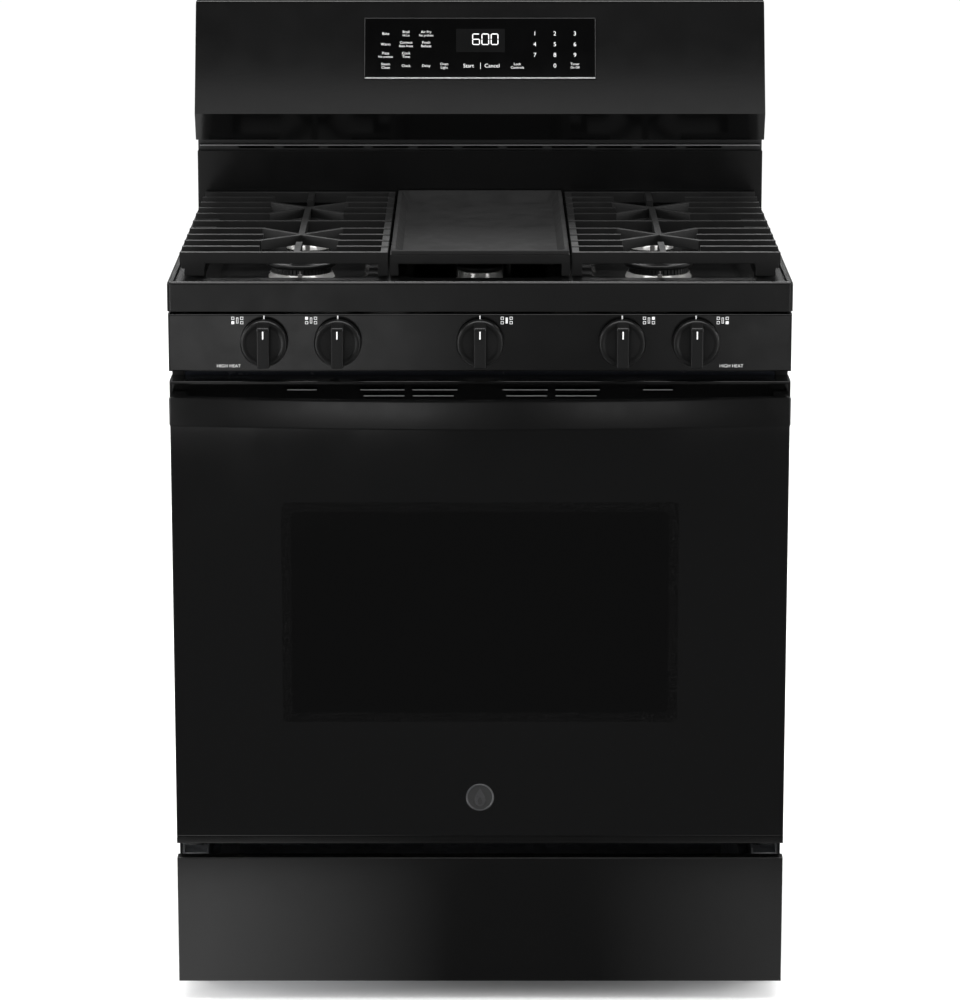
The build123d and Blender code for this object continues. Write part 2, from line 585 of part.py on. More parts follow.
def slanted_bar(x0, y0, x1, y1, z0, z1, width):
    """A straight bar between two points in plan."""
    length = hypot(x1 - x0, y1 - y0)
    beam = Box(length, width, z1 - z0)
    middle = Pos((x0 + x1) / 2, (y0 + y1) / 2, (z0 + z1) / 2)
    return middle * Rot(0, 0, degrees(atan2(y1 - y0, x1 - x0))) * beam


def grate_right():
    """A side grate: cast bars that run left to right, with a crossing over each burner."""
    inner, outer = SIDE_GRATE_X
    mid, half = GRATE_MID_Y, BAR / 2
    bars = []
    for index, offset in enumerate(BAR_OFFSETS):
        for sign in ((1,) if offset == 0 else (-1, 1)):
            y = mid + sign * offset
            spans = [(inner, outer)]
            if 1 <= index <= 4:
                spans = [(inner, BURNER_X - CROSS_HALF), (BURNER_X + CROSS_HALF, outer)]
            bars += [block(x0, x1, y - half, y + half, BAR_Z0, GRATE_TOP_Z) for x0, x1 in spans]
    near, far = BAR_OFFSETS[1], BAR_OFFSETS[3]
    for sign in (-1, 1):
        cross_y = mid + sign * BURNER_OFFSET
        for x_sign in (-1, 1):
            for offset in (near, far):
                bars.append(slanted_bar(BURNER_X, cross_y, BURNER_X + x_sign * (CROSS_HALF + 3),
                                        mid + sign * offset, BAR_Z0 + 2, GRATE_TOP_Z, BAR - 1))
        bars.append(block(BURNER_X - half, BURNER_X + half, *sorted((mid, cross_y)), BAR_Z0 + 2, GRATE_TOP_Z))
        edge = mid + sign * BAR_OFFSETS[5]
        stub = sorted((edge, edge - sign * 78))
        bars.append(block(BURNER_X - half, BURNER_X + half, *stub, BAR_Z0 + 2, GRATE_TOP_Z))
    front, back = GRATE_Y
    outer_rail = block(outer - 30, outer - 2, front - half, back + half, BAR_Z0 - 6, GRATE_TOP_Z - 7)
    inner_rail = block(inner, inner + 9, front - half, back + half, BAR_Z0, GRATE_TOP_Z - 1)
    legs = [block(x0, x1, y - half, y + half, LEDGE_Z + 2, BAR_Z0 + 1)
            for x0, x1 in ((outer - 30, outer - 6), (inner, inner + 12)) for y in (front, back, mid)]
    return fused(bars + [outer_rail, inner_rail] + legs)


def grate_left():
    return mirror(grate_right(), Plane.YZ)


CENTRE_HALF = 110.0
CENTRE_TOP_Z = 937.0


def grate_centre():
    """The middle grate: a frame with cross bars low enough for the griddle to sit in it."""
    front, back = GRATE_Y[0] - BAR / 2, GRATE_Y[1] + BAR / 2
    outer = block(-CENTRE_HALF, CENTRE_HALF, front, back, BAR_Z0, CENTRE_TOP_Z)
    inside_half = CENTRE_HALF - 6
    frame = outer - block(-inside_half, inside_half, front + 6, back - 6, BAR_Z0 - 1, CENTRE_TOP_Z + 1)
    cross_y = [front + offset for offset in (92, 172, 252, 332, 412)]
    cross_low, cross_high = LEDGE_Z + 2.5, LEDGE_Z + 12
    cross = [block(-CENTRE_HALF + 1, CENTRE_HALF - 1, y - 3, y + 3, cross_low, cross_high) for y in cross_y]
    drop = block(CENTRE_HALF - 6, CENTRE_HALF, -3, 3, cross_low, BAR_Z0 + 1)
    drops = [Pos(0, y, 0) * shape for y in cross_y for shape in both_sides(drop)]
    leg = block(CENTRE_HALF - 10, CENTRE_HALF, 0, BAR, LEDGE_Z + 2, BAR_Z0 + 1)
    legs = [Pos(0, y, 0) * shape for y in (front, back - BAR) for shape in both_sides(leg)]
    return fused([frame] + cross + drops + legs)


def griddle():
    """The cast griddle: a tray with a sloping back wall and a rim that rests on the middle grate."""
    half, front, back = CENTRE_HALF - 7, GRATE_Y[0] + 4, GRATE_Y[1] - 4
    rim_low, rim_top = CENTRE_TOP_Z + 0.3, CENTRE_TOP_Z + 5
    tray = block(-half, half, front, back, 924, rim_low + 1)
    rim = block(-half - 6, half + 6, front - 6, back + 6, rim_low, rim_top)
    rim = fillet(rim.edges().group_by(Axis.Z)[-1], 1.5)
    slope, floor_z = 6.0, 930.0
    floor_shape = RectangleRounded(2 * (half - slope - 1), back - front - 30, 8)
    floor = Pos(0, (front + back - 18) / 2, floor_z) * floor_shape
    mouth = Pos(0, (front + back) / 2, rim_top + 0.01) * RectangleRounded(2 * half + 2, back - front + 2, 8)
    return tray + rim - loft([floor, mouth])


# --- Front panel, valves and knobs ------------------------------------------------------------
MANIFOLD_Y = FRONT_Y + 48
KNOB_BACK_Y = FRONT_Y - 5


def manifold_panel():
    """The front panel that the knobs stand on: a folded channel with a hole for each stem."""
    low, high = PANEL_Z
    half = HALF_BODY + 0.5
    panel = block(-half, half, FRONT_Y, FRONT_Y + 30, low, high)
    panel = fillet(panel.edges().group_by(Axis.Y)[0], 2)
    panel -= block(-half + SHEET, half - SHEET, FRONT_Y + SHEET, FRONT_Y + 31, low + SHEET, high - SHEET)
    return panel - [bar_y(6, x, FRONT_Y - 1, FRONT_Y + 3, KNOB_Z) for x in KNOB_X]


def gas_manifold():
    """The gas rail behind the panel and the supply pipe that feeds it from the regulator."""
    x, rear_y, high_z = GAS_INLET[0], 300.0, 810.0
    rail = bar_x(9, -330, 330, MANIFOLD_Y, KNOB_Z)
    points = [(x, rear_y, 146), (x, rear_y, high_z),
              (x, MANIFOLD_Y + 60, high_z), (x, MANIFOLD_Y + 3, KNOB_Z - 2)]
    supply = pipe(points, 6, 22)
    return rail + supply


def gas_valves():
    """The brass valves on the gas rail, bored for the stems."""
    valves = []
    for x in KNOB_X:
        body = bar_y(11, x, FRONT_Y + 8, MANIFOLD_Y - 14, KNOB_Z)
        neck = block(x - 8, x + 8, MANIFOLD_Y - 16, MANIFOLD_Y, KNOB_Z - 8, KNOB_Z + 8)
        valve = body + neck - bar_x(9, x - 9, x + 9, MANIFOLD_Y, KNOB_Z)
        valves.append(valve - bar_y(STEM_R + RUNNING_GAP, x, FRONT_Y + 7, FRONT_Y + 26, KNOB_Z))
    return valves


def stem_flat(radius, y0, y1):
    """What the flat on a stem's upper side takes away."""
    return block(-radius - 1, radius + 1, y0, y1, radius * 0.7, radius + 1)


def valve_stem(x):
    """A valve's stem: round in the valve and flatted where the knob slides on it."""
    tip_y = FRONT_Y - 24
    stem = bar_y(STEM_R, 0, tip_y, FRONT_Y + 24, 0) + bar_y(5, 0, FRONT_Y + 3, FRONT_Y + 6, 0)
    return Pos(x, 0, KNOB_Z) * (stem - stem_flat(STEM_R, tip_y - 1, FRONT_Y))


def knob(x):
    """A knob: a round skirt with an upright grip that slopes in at its upper end."""
    skirt_y, grip_y = KNOB_BACK_Y - 12, KNOB_BACK_Y - 30
    skirt = bar_y(29, 0, skirt_y, KNOB_BACK_Y, 0)
    skirt = fillet(skirt.edges().group_by(Axis.Y)[0], 2.5)
    side_view = [(skirt_y + 2, 27), (grip_y + 1.5, 21), (grip_y, 18), (grip_y, -27), (skirt_y + 2, -28.5)]
    grip = slab_yz(side_view, -7, 7)
    grip = fillet(grip.edges().filter_by(Axis.Z).group_by(Axis.Y)[0], 1.5)
    bore_r = STEM_R + RUNNING_GAP
    bore = bar_y(bore_r, 0, FRONT_Y - 29, KNOB_BACK_Y + 1, 0)
    bore -= stem_flat(bore_r, FRONT_Y - 30, KNOB_BACK_Y + 2)
    return Pos(x, 0, KNOB_Z) * (skirt + grip - bore)


# --- Back riser and control head --------------------------------------------------------------
def riser_panel():
    """The sheet behind the cooktop, folded back at both sides."""
    low, high = COOKTOP_Z[1] - 3, VENT_Z[0]
    front_y = COOKTOP_BACK_Y + 0.5
    face = block(-HALF_BODY, HALF_BODY, RISER_Y, RISER_Y + SHEET, COOKTOP_Z[1] + 0.5, high)
    sides = both_sides(block(HALF_BODY - SHEET, HALF_BODY, RISER_Y, REAR_SHEET_Y, COOKTOP_Z[1] + 0.5, high))
    lower = both_sides(block(HALF_BODY - SHEET, HALF_BODY, front_y, REAR_SHEET_Y, COOKTOP_Z[0], low + 4))
    top = block(-HALF_BODY, HALF_BODY, RISER_Y, RISER_Y + 14, high - SHEET, high)
    rear = block(-HALF_BODY, HALF_BODY, REAR_SHEET_Y - SHEET, REAR_SHEET_Y, COOKTOP_Z[0], high)
    return fused([face, top, rear] + sides + lower)


def vent_trim():
    """The set-back oven outlet between the riser and the head: a slotted wall with a lip."""
    wall_y = RISER_Y + 14.5
    low, high = VENT_Z
    wall = block(-HALF_BODY + SHEET, HALF_BODY - SHEET, wall_y, wall_y + SHEET, low - 6, high)
    lip = block(-HALF_BODY + 2, HALF_BODY - 2, RISER_Y + 4, wall_y + 1, low + 6.3, low + 7.8)
    slots = [block(x - 24, x + 24, wall_y - 1, wall_y + 3, low + 1.5, low + 5.5)
             for x in range(-300, 301, 60)]
    ends = both_sides(block(HALF_BODY - SHEET - 0.5, HALF_BODY, wall_y, REAR_SHEET_Y - SHEET, low, high))
    return fused([wall, lip] + ends) - slots


def control_housing():
    """The control head's shell: a folded sheet with a sloping face, closed ends and an open back."""
    shell = slab_yz(HEAD_PROFILE, -HALF_TOP, HALF_TOP)
    shell = fillet(shell.edges().filter_by(Axis.X).group_by(Axis.Z)[-1], 2)
    wall = 2.0
    middle_y, middle_z = (HEAD_PROFILE[0][0] + REAR_SHEET_Y) / 2, (HEAD_PROFILE[0][1] + HEIGHT) / 2
    inner_points = []
    for y, z in HEAD_PROFILE:
        inner_y = y + wall * 1.3 if y < middle_y else y - wall
        inner_z = z + wall if z < middle_z else z - wall
        inner_points.append((inner_y, inner_z))
    inner = slab_yz(inner_points, -HALF_TOP + wall, HALF_TOP - wall)
    window = block(-HALF_TOP + 24, HALF_TOP - 24, REAR_SHEET_Y - 10, REAR_SHEET_Y + 1,
                   VENT_Z[1] + 18, HEIGHT - 22)
    shell = shell - inner - window - face_plate(-152, 152, GLASS_T[0] + 3, GLASS_T[1] - 3, -6, 1)
    return shell - rear_screw_holes(COVER_SCREWS)


GLASS_HALF = 154.5
GLASS_T = (47.0, 131.5)  # the control glass's lower and upper edge, along the sloping face


def on_face(shape):
    """Carry a shape from a flat drawing onto the head's sloping face.

    In the drawing X is the range's X, Z runs up the face from its lower fold and -Y is outwards.
    """
    fold_y, fold_z = HEAD_PROFILE[1]
    return Pos(0, fold_y, fold_z) * Rot(-FACE_ANGLE, 0, 0) * shape


def face_plate(x0, x1, t0, t1, outwards, inwards):
    """A plate on the sloping face; both depths are measured from the face, negative outwards."""
    return on_face(block(x0, x1, outwards, inwards + 5, t0, t1))


def control_glass():
    """The touch glass of the control head, let into the sloping face."""
    plate = on_face(block(-GLASS_HALF, GLASS_HALF, -2.5, 0, *GLASS_T))
    return chamfer(plate.edges().filter_by(Axis.X), 0.6)


def display_module():
    """The display and key board behind the touch glass."""
    board = on_face(block(-148, 148, 5, 7, GLASS_T[0] + 5, GLASS_T[1] - 5))
    screen = on_face(block(-34, 34, 0.3, 6, GLASS_T[1] - 54, GLASS_T[1] - 14))
    chips = [on_face(block(x, x + 30, 6, 15, GLASS_T[0] + 15, GLASS_T[0] + 40)) for x in (-120, -60, 60)]
    return fused([board, screen] + chips)


def rear_cover():
    """The pressed cover over the control head's back; its flat stands nearest the wall."""
    half, low, high = HALF_TOP - 4, VENT_Z[1] + 2, HEIGHT - 4
    pan = block(-half, half, REAR_SHEET_Y, BACK_Y, low, high)
    pan -= block(-half + SHEET, half - SHEET, REAR_SHEET_Y - 1, BACK_Y - SHEET, low + SHEET, high - SHEET)
    seats = [bar_y(7, x, REAR_SHEET_Y, BACK_Y - SHEET, z) for x, z in COVER_SCREWS]
    slots = [block(x - 30, x + 30, BACK_Y - 3, BACK_Y + 1, z, z + 5)
             for x in (-240, -160, 160, 240) for z in (1060, 1075, 1090, 1105)]
    cover = fused([pan] + seats) - slots
    sunk = [bar_y(5, x, BACK_Y - 2.2, BACK_Y + 1, z) for x, z in COVER_SCREWS]
    return cover - sunk - rear_screw_holes(COVER_SCREWS)


# --- Gas and mains inlets, and fasteners ------------------------------------------------------
def gas_regulator():
    """The pressure regulator: a domed body with a threaded inlet that faces the back."""
    x, z = GAS_INLET
    dome = bar_z(24, x, 300, z - 22, z + 14)
    dome = fillet(dome.edges().group_by(Axis.Z)[0], 5)
    outlet = bar_z(10, x, 300, z + 12, z + 26)
    inlet = bar_y(15, x, 305, 355, z)
    return fused([dome, outlet, inlet]) - bar_y(10.5, x, 335, 356, z)


def power_inlet():
    """The gland that a mains cord goes in through."""
    x, z = CORD_INLET
    flange = bar_y(15, x, REAR_SHEET_Y + SHEET, BACK_Y, z)
    sleeve = bar_y(10, x, REAR_SHEET_Y - 14, REAR_SHEET_Y + 2, z)
    nut = Pos(x, REAR_SHEET_Y, z) * Rot(90, 0, 0) * extrude(RegularPolygon(15, 6), 5)
    return fused([flange, sleeve, nut]) - bar_y(6, x, REAR_SHEET_Y - 20, BACK_Y + 1, z)


def screws():
    """The screws of the rear panel and of the rear cover."""
    head_y = REAR_SHEET_Y + SHEET
    pan_head = bar_y(4.5, 0, head_y, head_y + 2, 0)
    pan_head = fillet(pan_head.edges().group_by(Axis.Y)[-1], 1)
    pan_head += bar_y(SCREW_R, 0, head_y - 12, head_y + 1, 0)
    sunk_y = BACK_Y - 2.2
    sunk_head = bar_y(4.5, 0, sunk_y, BACK_Y - 0.3, 0) + bar_y(SCREW_R, 0, sunk_y - 12, sunk_y + 1, 0)
    return ([Pos(x, 0, z) * pan_head for x, z in panel_screws()]
            + [Pos(x, 0, z) * sunk_head for x, z in COVER_SCREWS])


# --- Writing the sub-parts --------------------------------------------------------------------
def all_parts():
    """Every sub-part by name; a list is a group of separate solids."""
    parts = {
        "side_panel_left": side_panel(-1), "side_panel_right": side_panel(1), "rear_panel": rear_panel(),
        "base_frame": base_frame(), "leveling_legs": leveling_legs(), "front_frame": front_frame(),
        "door_gasket": door_gasket(), "oven_liner": oven_liner(), "oven_insulation": oven_insulation(),
        "bake_burner": bake_burner(), "broil_burner": broil_burner(), "oven_racks": oven_racks(),
        "fan_cover": fan_cover(), "convection_fan": convection_fan(), "fan_motor": fan_motor(),
        "oven_lamp": oven_lamp(), "hinge_arms": hinge_arms(), "hinge_pins": hinge_pins(),
        "door_liner": door_liner(), "door_glass": door_glass(), "door_inner_glass": door_inner_glass(),
        "door_top_trim": door_top_trim(), "door_bottom_trim": door_bottom_trim(),
        "door_handle": door_handle(),
        "badge": badge(), "drawer_front": drawer_front(), "drawer_box": drawer_box(),
        "drawer_rails": drawer_rails(), "cooktop": cooktop(), "round_burner_heads": round_burner_heads(),
        "oval_burner_head": oval_burner_head(), "round_burner_caps": round_burner_caps(),
        "oval_burner_cap": oval_burner_cap(), "igniters": igniters(), "grate_left": grate_left(),
        "grate_right": grate_right(), "grate_centre": grate_centre(), "griddle": griddle(),
        "manifold_panel": manifold_panel(), "gas_manifold": gas_manifold(), "gas_valves": gas_valves(),
        "riser_panel": riser_panel(), "vent_trim": vent_trim(), "control_housing": control_housing(),
        "control_glass": control_glass(), "display_module": display_module(), "rear_cover": rear_cover(),
        "gas_regulator": gas_regulator(), "power_inlet": power_inlet(), "screws": screws(),
    }
    for name, x in zip(KNOB_NAMES, KNOB_X):
        parts[f"knob_{name}"] = knob(x)
        parts[f"stem_{name}"] = valve_stem(x)
    return parts


os.makedirs("parts", exist_ok=True)
for node, shape in all_parts().items():
    solids = shape if isinstance(shape, list) else [shape]
    export_step(Compound(children=solids) if len(solids) > 1 else solids[0], f"parts/{node}.step")
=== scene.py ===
"""Looks of the freestanding gas range: materials, finely finished pieces, light and camera."""

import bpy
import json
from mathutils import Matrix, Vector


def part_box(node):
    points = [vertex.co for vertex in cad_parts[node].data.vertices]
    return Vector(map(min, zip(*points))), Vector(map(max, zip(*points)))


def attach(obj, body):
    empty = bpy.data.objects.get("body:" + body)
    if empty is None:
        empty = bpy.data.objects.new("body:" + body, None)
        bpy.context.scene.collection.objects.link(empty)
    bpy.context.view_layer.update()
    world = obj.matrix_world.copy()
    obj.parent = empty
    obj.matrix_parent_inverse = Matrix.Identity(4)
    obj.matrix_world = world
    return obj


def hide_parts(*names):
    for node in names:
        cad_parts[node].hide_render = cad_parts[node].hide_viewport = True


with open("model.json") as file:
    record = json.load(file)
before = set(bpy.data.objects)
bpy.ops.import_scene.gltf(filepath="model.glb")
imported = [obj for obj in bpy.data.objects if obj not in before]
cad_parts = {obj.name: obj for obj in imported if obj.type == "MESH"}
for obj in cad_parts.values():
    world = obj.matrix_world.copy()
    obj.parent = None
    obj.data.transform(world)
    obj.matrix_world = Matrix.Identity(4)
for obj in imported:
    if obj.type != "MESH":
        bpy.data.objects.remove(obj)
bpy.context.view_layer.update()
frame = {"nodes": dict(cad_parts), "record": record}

import json
import math

import bmesh
import bpy
from mathutils import Matrix, Vector

MM = 0.001
X_AXIS = Vector((1, 0, 0))
SLOT_OF = {part["node"]: part["material_slot"] for part in frame["record"]["subparts"]}
BODY_OF = {node: body for body, nodes in frame["record"]["behaviour"]["bodies"].items() for node in nodes}

CAMERA_PLACE = (0, -5.333, 1.779)
CAMERA_PITCH = 12.71  # degrees below level
CAMERA_LENS = 151.7  # mm
SOFT_FILL = 1.08  # how strongly the white surroundings light dull surfaces
DARK_ROOM = 0.09  # how bright the surroundings look in shiny ones
DARK_FLOOR = 0.085  # how bright the floor looks in shiny surfaces, away from the cards on it
FLOOR_REACH = 14.0  # half the floor's side, in metres

# Name, place, the point it is aimed at, width, height (all in metres) and power in watts.
LIGHTS = (
    ("left_strip", (-1.05, -1.45, 0.65), (-0.1, -0.3, 0.45), 0.35, 1.3, 4.5),
    ("right_strip", (1.15, -1.55, 0.65), (0.1, -0.3, 0.45), 0.35, 1.3, 3.3),
    ("head_strip", (0, -1.5, 2.25), (0, 0.27, 1.08), 3.2, 0.25, 1.9),
    ("edge_strip", (0, -1.05, 2.6), (0, -0.36, 0.8), 3.0, 0.3, 9),
    ("top_bank", (0, -0.35, 2.8), (0, -0.1, 0.9), 2.8, 1.3, 30),
    ("left_bank", (-3.6, 0.4, 1.6), (0, 0, 0.6), 2.4, 1.8, 60),
    ("right_bank", (3.6, 0.4, 1.6), (0, 0, 0.6), 2.4, 1.8, 60),
    ("rear_bank", (0, 3.4, 3.1), (0, 0.3, 0.6), 3.0, 1.6, 80),
)


# --- Camera and light -------------------------------------------------------------------------
def make_camera():
    """A long lens in front of the range, above it and tilted down."""
    data = bpy.data.cameras.new("camera")
    data.sensor_width = 36
    data.lens = CAMERA_LENS
    data.clip_end = 50
    camera = bpy.data.objects.new("camera", data)
    camera.location = CAMERA_PLACE
    camera.rotation_euler = (math.radians(90 - CAMERA_PITCH), 0, 0)
    bpy.context.scene.collection.objects.link(camera)
    bpy.context.scene.camera = camera


def area_light(name, place, target, width, height, power):
    """A rectangular light that the camera does not see, aimed at a point."""
    data = bpy.data.lights.new(name, "AREA")
    data.shape = "RECTANGLE"
    data.size, data.size_y = width, height
    data.energy = power
    light = bpy.data.objects.new(name, data)
    light.location = place
    aim = Vector(target) - Vector(place)
    light.rotation_euler = aim.to_track_quat("-Z", "Y").to_euler()
    light.visible_camera = False
    bpy.context.scene.collection.objects.link(light)


def make_world():
    """White behind the range, soft fill on it, and a dark room in its reflections."""
    world = bpy.data.worlds.new("studio")
    bpy.context.scene.world = world
    world.use_nodes = True
    nodes, links = world.node_tree.nodes, world.node_tree.links
    nodes.clear()
    out = nodes.new("ShaderNodeOutputWorld")
    path = nodes.new("ShaderNodeLightPath")
    seen, fill, mirror = [nodes.new("ShaderNodeBackground") for _ in range(3)]
    for background, strength in ((seen, 1.0), (fill, SOFT_FILL), (mirror, DARK_ROOM)):
        background.inputs["Color"].default_value = (1, 1, 1, 1)
        background.inputs["Strength"].default_value = strength
    glossy, camera = nodes.new("ShaderNodeMixShader"), nodes.new("ShaderNodeMixShader")
    links.new(path.outputs["Is Glossy Ray"], glossy.inputs[0])
    links.new(fill.outputs[0], glossy.inputs[1])
    links.new(mirror.outputs[0], glossy.inputs[2])
    links.new(path.outputs["Is Camera Ray"], camera.inputs[0])
    links.new(glossy.outputs[0], camera.inputs[1])
    links.new(seen.outputs[0], camera.inputs[2])
    links.new(camera.outputs[0], out.inputs[0])


def ramp_between(tree, value, start, end, low=0.0, high=1.0):
    """A value spread from low to high between start and end."""
    node = tree.nodes.new("ShaderNodeMapRange")
    node.inputs["From Min"].default_value, node.inputs["From Max"].default_value = start, end
    node.inputs["To Min"].default_value, node.inputs["To Max"].default_value = low, high
    tree.links.new(value, node.inputs["Value"])
    return node.outputs[0]


def combined(tree, operation, first, second):
    """Two node outputs put together by a sum or a product."""
    node = tree.nodes.new("ShaderNodeMath")
    node.operation = operation
    tree.links.new(first, node.inputs[0])
    tree.links.new(second, node.inputs[1])
    return node.outputs[0]


def stage_reflection(tree):
    """What shiny paint sees of the floor: glowing cards beside a dark middle, near the range and far out.

    X runs to the right and Y away from the camera, in metres from the range's middle; each card fades
    in and out between two places.
    """
    place = tree.nodes.new("ShaderNodeTexCoord")
    split = tree.nodes.new("ShaderNodeSeparateXYZ")
    tree.links.new(place.outputs["Object"], split.inputs[0])
    x, y = split.outputs[0], split.outputs[1]
    near_zone = ramp_between(tree, y, -0.95, -0.80)
    near_left = combined(tree, "MULTIPLY", ramp_between(tree, x, -0.04, -0.36),
                         ramp_between(tree, x, -0.9, -0.5, 0.2, 1.15))
    near_right = ramp_between(tree, x, 0.15, 0.38, 0.0, 0.5)
    near = combined(tree, "MULTIPLY", near_zone, combined(tree, "ADD", near_left, near_right))
    far_zone = combined(tree, "MULTIPLY", ramp_between(tree, y, -3.9, -4.05),
                        ramp_between(tree, y, -6.3, -5.9))
    far_left = combined(tree, "MULTIPLY", ramp_between(tree, x, -0.05, -0.25),
                        ramp_between(tree, x, -1.4, -1.0, 0.0, 1.6))
    far_right = combined(tree, "MULTIPLY", ramp_between(tree, x, 0.4, 0.6),
                         ramp_between(tree, x, 1.4, 1.1, 0.0, 1.0))
    far = combined(tree, "MULTIPLY", far_zone, combined(tree, "ADD", far_left, far_right))
    glow = tree.nodes.new("ShaderNodeMath")
    glow.operation = "ADD"
    glow.inputs[1].default_value = DARK_FLOOR
    tree.links.new(combined(tree, "ADD", near, far), glow.inputs[0])
    return glow.outputs[0]


def make_floor():
    """A pale floor, with studio cards on it that only reflections show."""
    mesh = bpy.data.meshes.new("floor")
    signs = ((-1, -1), (1, -1), (1, 1), (-1, 1))
    mesh.from_pydata([(FLOOR_REACH * x, FLOOR_REACH * y, 0) for x, y in signs], [], [(0, 1, 2, 3)])
    floor = bpy.data.objects.new("floor", mesh)
    bpy.context.scene.collection.objects.link(floor)
    material = bpy.data.materials.new("pale_floor")
    material.use_nodes = True
    tree = material.node_tree
    tree.nodes.clear()
    out = tree.nodes.new("ShaderNodeOutputMaterial")
    path = tree.nodes.new("ShaderNodeLightPath")
    pale = tree.nodes.new("ShaderNodeBsdfDiffuse")
    pale.inputs[0].default_value = (0.96, 0.96, 0.96, 1)
    cards = tree.nodes.new("ShaderNodeEmission")
    tree.links.new(stage_reflection(tree), cards.inputs["Strength"])
    mix = tree.nodes.new("ShaderNodeMixShader")
    tree.links.new(path.outputs["Is Glossy Ray"], mix.inputs[0])
    tree.links.new(pale.outputs[0], mix.inputs[1])
    tree.links.new(cards.outputs[0], mix.inputs[2])
    tree.links.new(mix.outputs[0], out.inputs[0])
    mesh.materials.append(material)


def make_lights():
    for light in LIGHTS:
        area_light(*light)


# --- Materials --------------------------------------------------------------------------------
class Look:
    """A node material built up from one Principled shader."""

    def __init__(self, name):
        self.material = bpy.data.materials.new(name)
        self.material.use_nodes = True
        self.nodes, self.links = self.material.node_tree.nodes, self.material.node_tree.links
        self.shader = self.nodes["Principled BSDF"]
        self.place = self.nodes.new("ShaderNodeTexCoord").outputs["Object"]

    def set(self, **sockets):
        for name, value in sockets.items():
            self.shader.inputs[name.replace("_", " ")].default_value = value

    def stretched(self, scale):
        mapping = self.nodes.new("ShaderNodeMapping")
        mapping.inputs["Scale"].default_value = scale
        self.links.new(self.place, mapping.inputs[0])
        return mapping.outputs[0]

    def noise(self, scale, detail=3.0, rough=0.55, place=None):
        node = self.nodes.new("ShaderNodeTexNoise")
        node.inputs["Scale"].default_value = scale
        node.inputs["Detail"].default_value = detail
        node.inputs["Roughness"].default_value = rough
        self.links.new(place or self.place, node.inputs["Vector"])
        return node.outputs[0]

    def cells(self, scale, output="Distance"):
        node = self.nodes.new("ShaderNodeTexVoronoi")
        node.inputs["Scale"].default_value = scale
        self.links.new(self.place, node.inputs["Vector"])
        return node.outputs[output]

    def ramp(self, value, low, high, start=0.3, end=0.7):
        """The value spread from low to high between start and end."""
        node = self.nodes.new("ShaderNodeMapRange")
        node.inputs["From Min"].default_value, node.inputs["From Max"].default_value = start, end
        node.inputs["To Min"].default_value, node.inputs["To Max"].default_value = low, high
        self.links.new(value, node.inputs["Value"])
        return node.outputs[0]

    def blend(self, factor, first, second):
        """A colour between two colours or sockets."""
        node = self.nodes.new("ShaderNodeMix")
        node.data_type = "RGBA"
        self.links.new(factor, node.inputs[0])
        for index, value in ((6, first), (7, second)):
            if isinstance(value, bpy.types.NodeSocket):
                self.links.new(value, node.inputs[index])
            else:
                node.inputs[index].default_value = (*value, 1)
        return node.outputs[2]

    def calc(self, operation, first, second=0.0):
        """A sum, a product or the like of two numbers or sockets."""
        node = self.nodes.new("ShaderNodeMath")
        node.operation = operation
        for socket, value in zip(node.inputs, (first, second)):
            if isinstance(value, bpy.types.NodeSocket):
                self.links.new(value, socket)
            else:
                socket.default_value = value
        return node.outputs[0]

    def to(self, name, value):
        self.links.new(value, self.shader.inputs[name])

    def bump(self, height, depth):
        """Relief of a depth in metres."""
        node = self.nodes.new("ShaderNodeBump")
        node.inputs["Distance"].default_value = depth
        self.links.new(height, node.inputs["Height"])
        self.links.new(node.outputs[0], self.shader.inputs["Normal"])


def grey(level, tint=0.0):
    """A grey, made bluer by a tint above 0 and warmer by one below it."""
    return (level, level * (1 + tint / 2), level * (1 + tint))


def coated(name, shade, rough, peel=0.00002, peel_scale=420.0, tint=0.02):
    """Paint or enamel: nearly even colour, soft cloudiness in the gloss and a fine orange peel."""
    look = Look(name)
    cloud = look.noise(5.0, 4.0)
    look.to("Base Color", look.blend(cloud, grey(shade * 0.85, tint), grey(shade * 1.15, tint)))
    smear = look.noise(26.0, 5.0, 0.6)
    look.to("Roughness", look.ramp(smear, rough * 0.88, rough * 1.14))
    look.set(IOR=1.5)
    look.bump(look.noise(peel_scale, 2.0), peel)
    return look.material


def speckled_enamel(name):
    """The oven's dark enamel with fine pale specks."""
    look = Look(name)
    specks = look.ramp(look.cells(420.0), 1.0, 0.0, 0.05, 0.22)
    patches = look.calc("MULTIPLY", specks, look.ramp(look.noise(160.0), 0.0, 1.0, 0.5, 0.62))
    look.to("Base Color", look.blend(patches, (0.017, 0.019, 0.026), (0.16, 0.17, 0.2)))
    look.to("Roughness", look.ramp(look.noise(30.0, 4.0), 0.18, 0.3))
    look.bump(look.noise(300.0, 3.0), 0.00003)
    return look.material


def cast_metal(name, shade, rough, grain=0.00016, grain_scale=900.0, shine=0.5):
    """Enamelled cast iron: a sandy skin whose colour and gloss drift a little."""
    look = Look(name)
    cloud = look.noise(38.0, 5.0, 0.6)
    look.to("Base Color", look.blend(cloud, grey(shade * 0.7), grey(shade * 1.35)))
    look.to("Roughness", look.ramp(cloud, rough * 0.85, rough * 1.15))
    look.set(IOR=1.5, Specular_IOR_Level=shine)
    lumps = look.calc("MULTIPLY", look.noise(120.0, 2.0), 0.5)
    sand = look.calc("ADD", look.noise(grain_scale, 4.0, 0.65), lumps)
    look.bump(sand, grain)
    return look.material


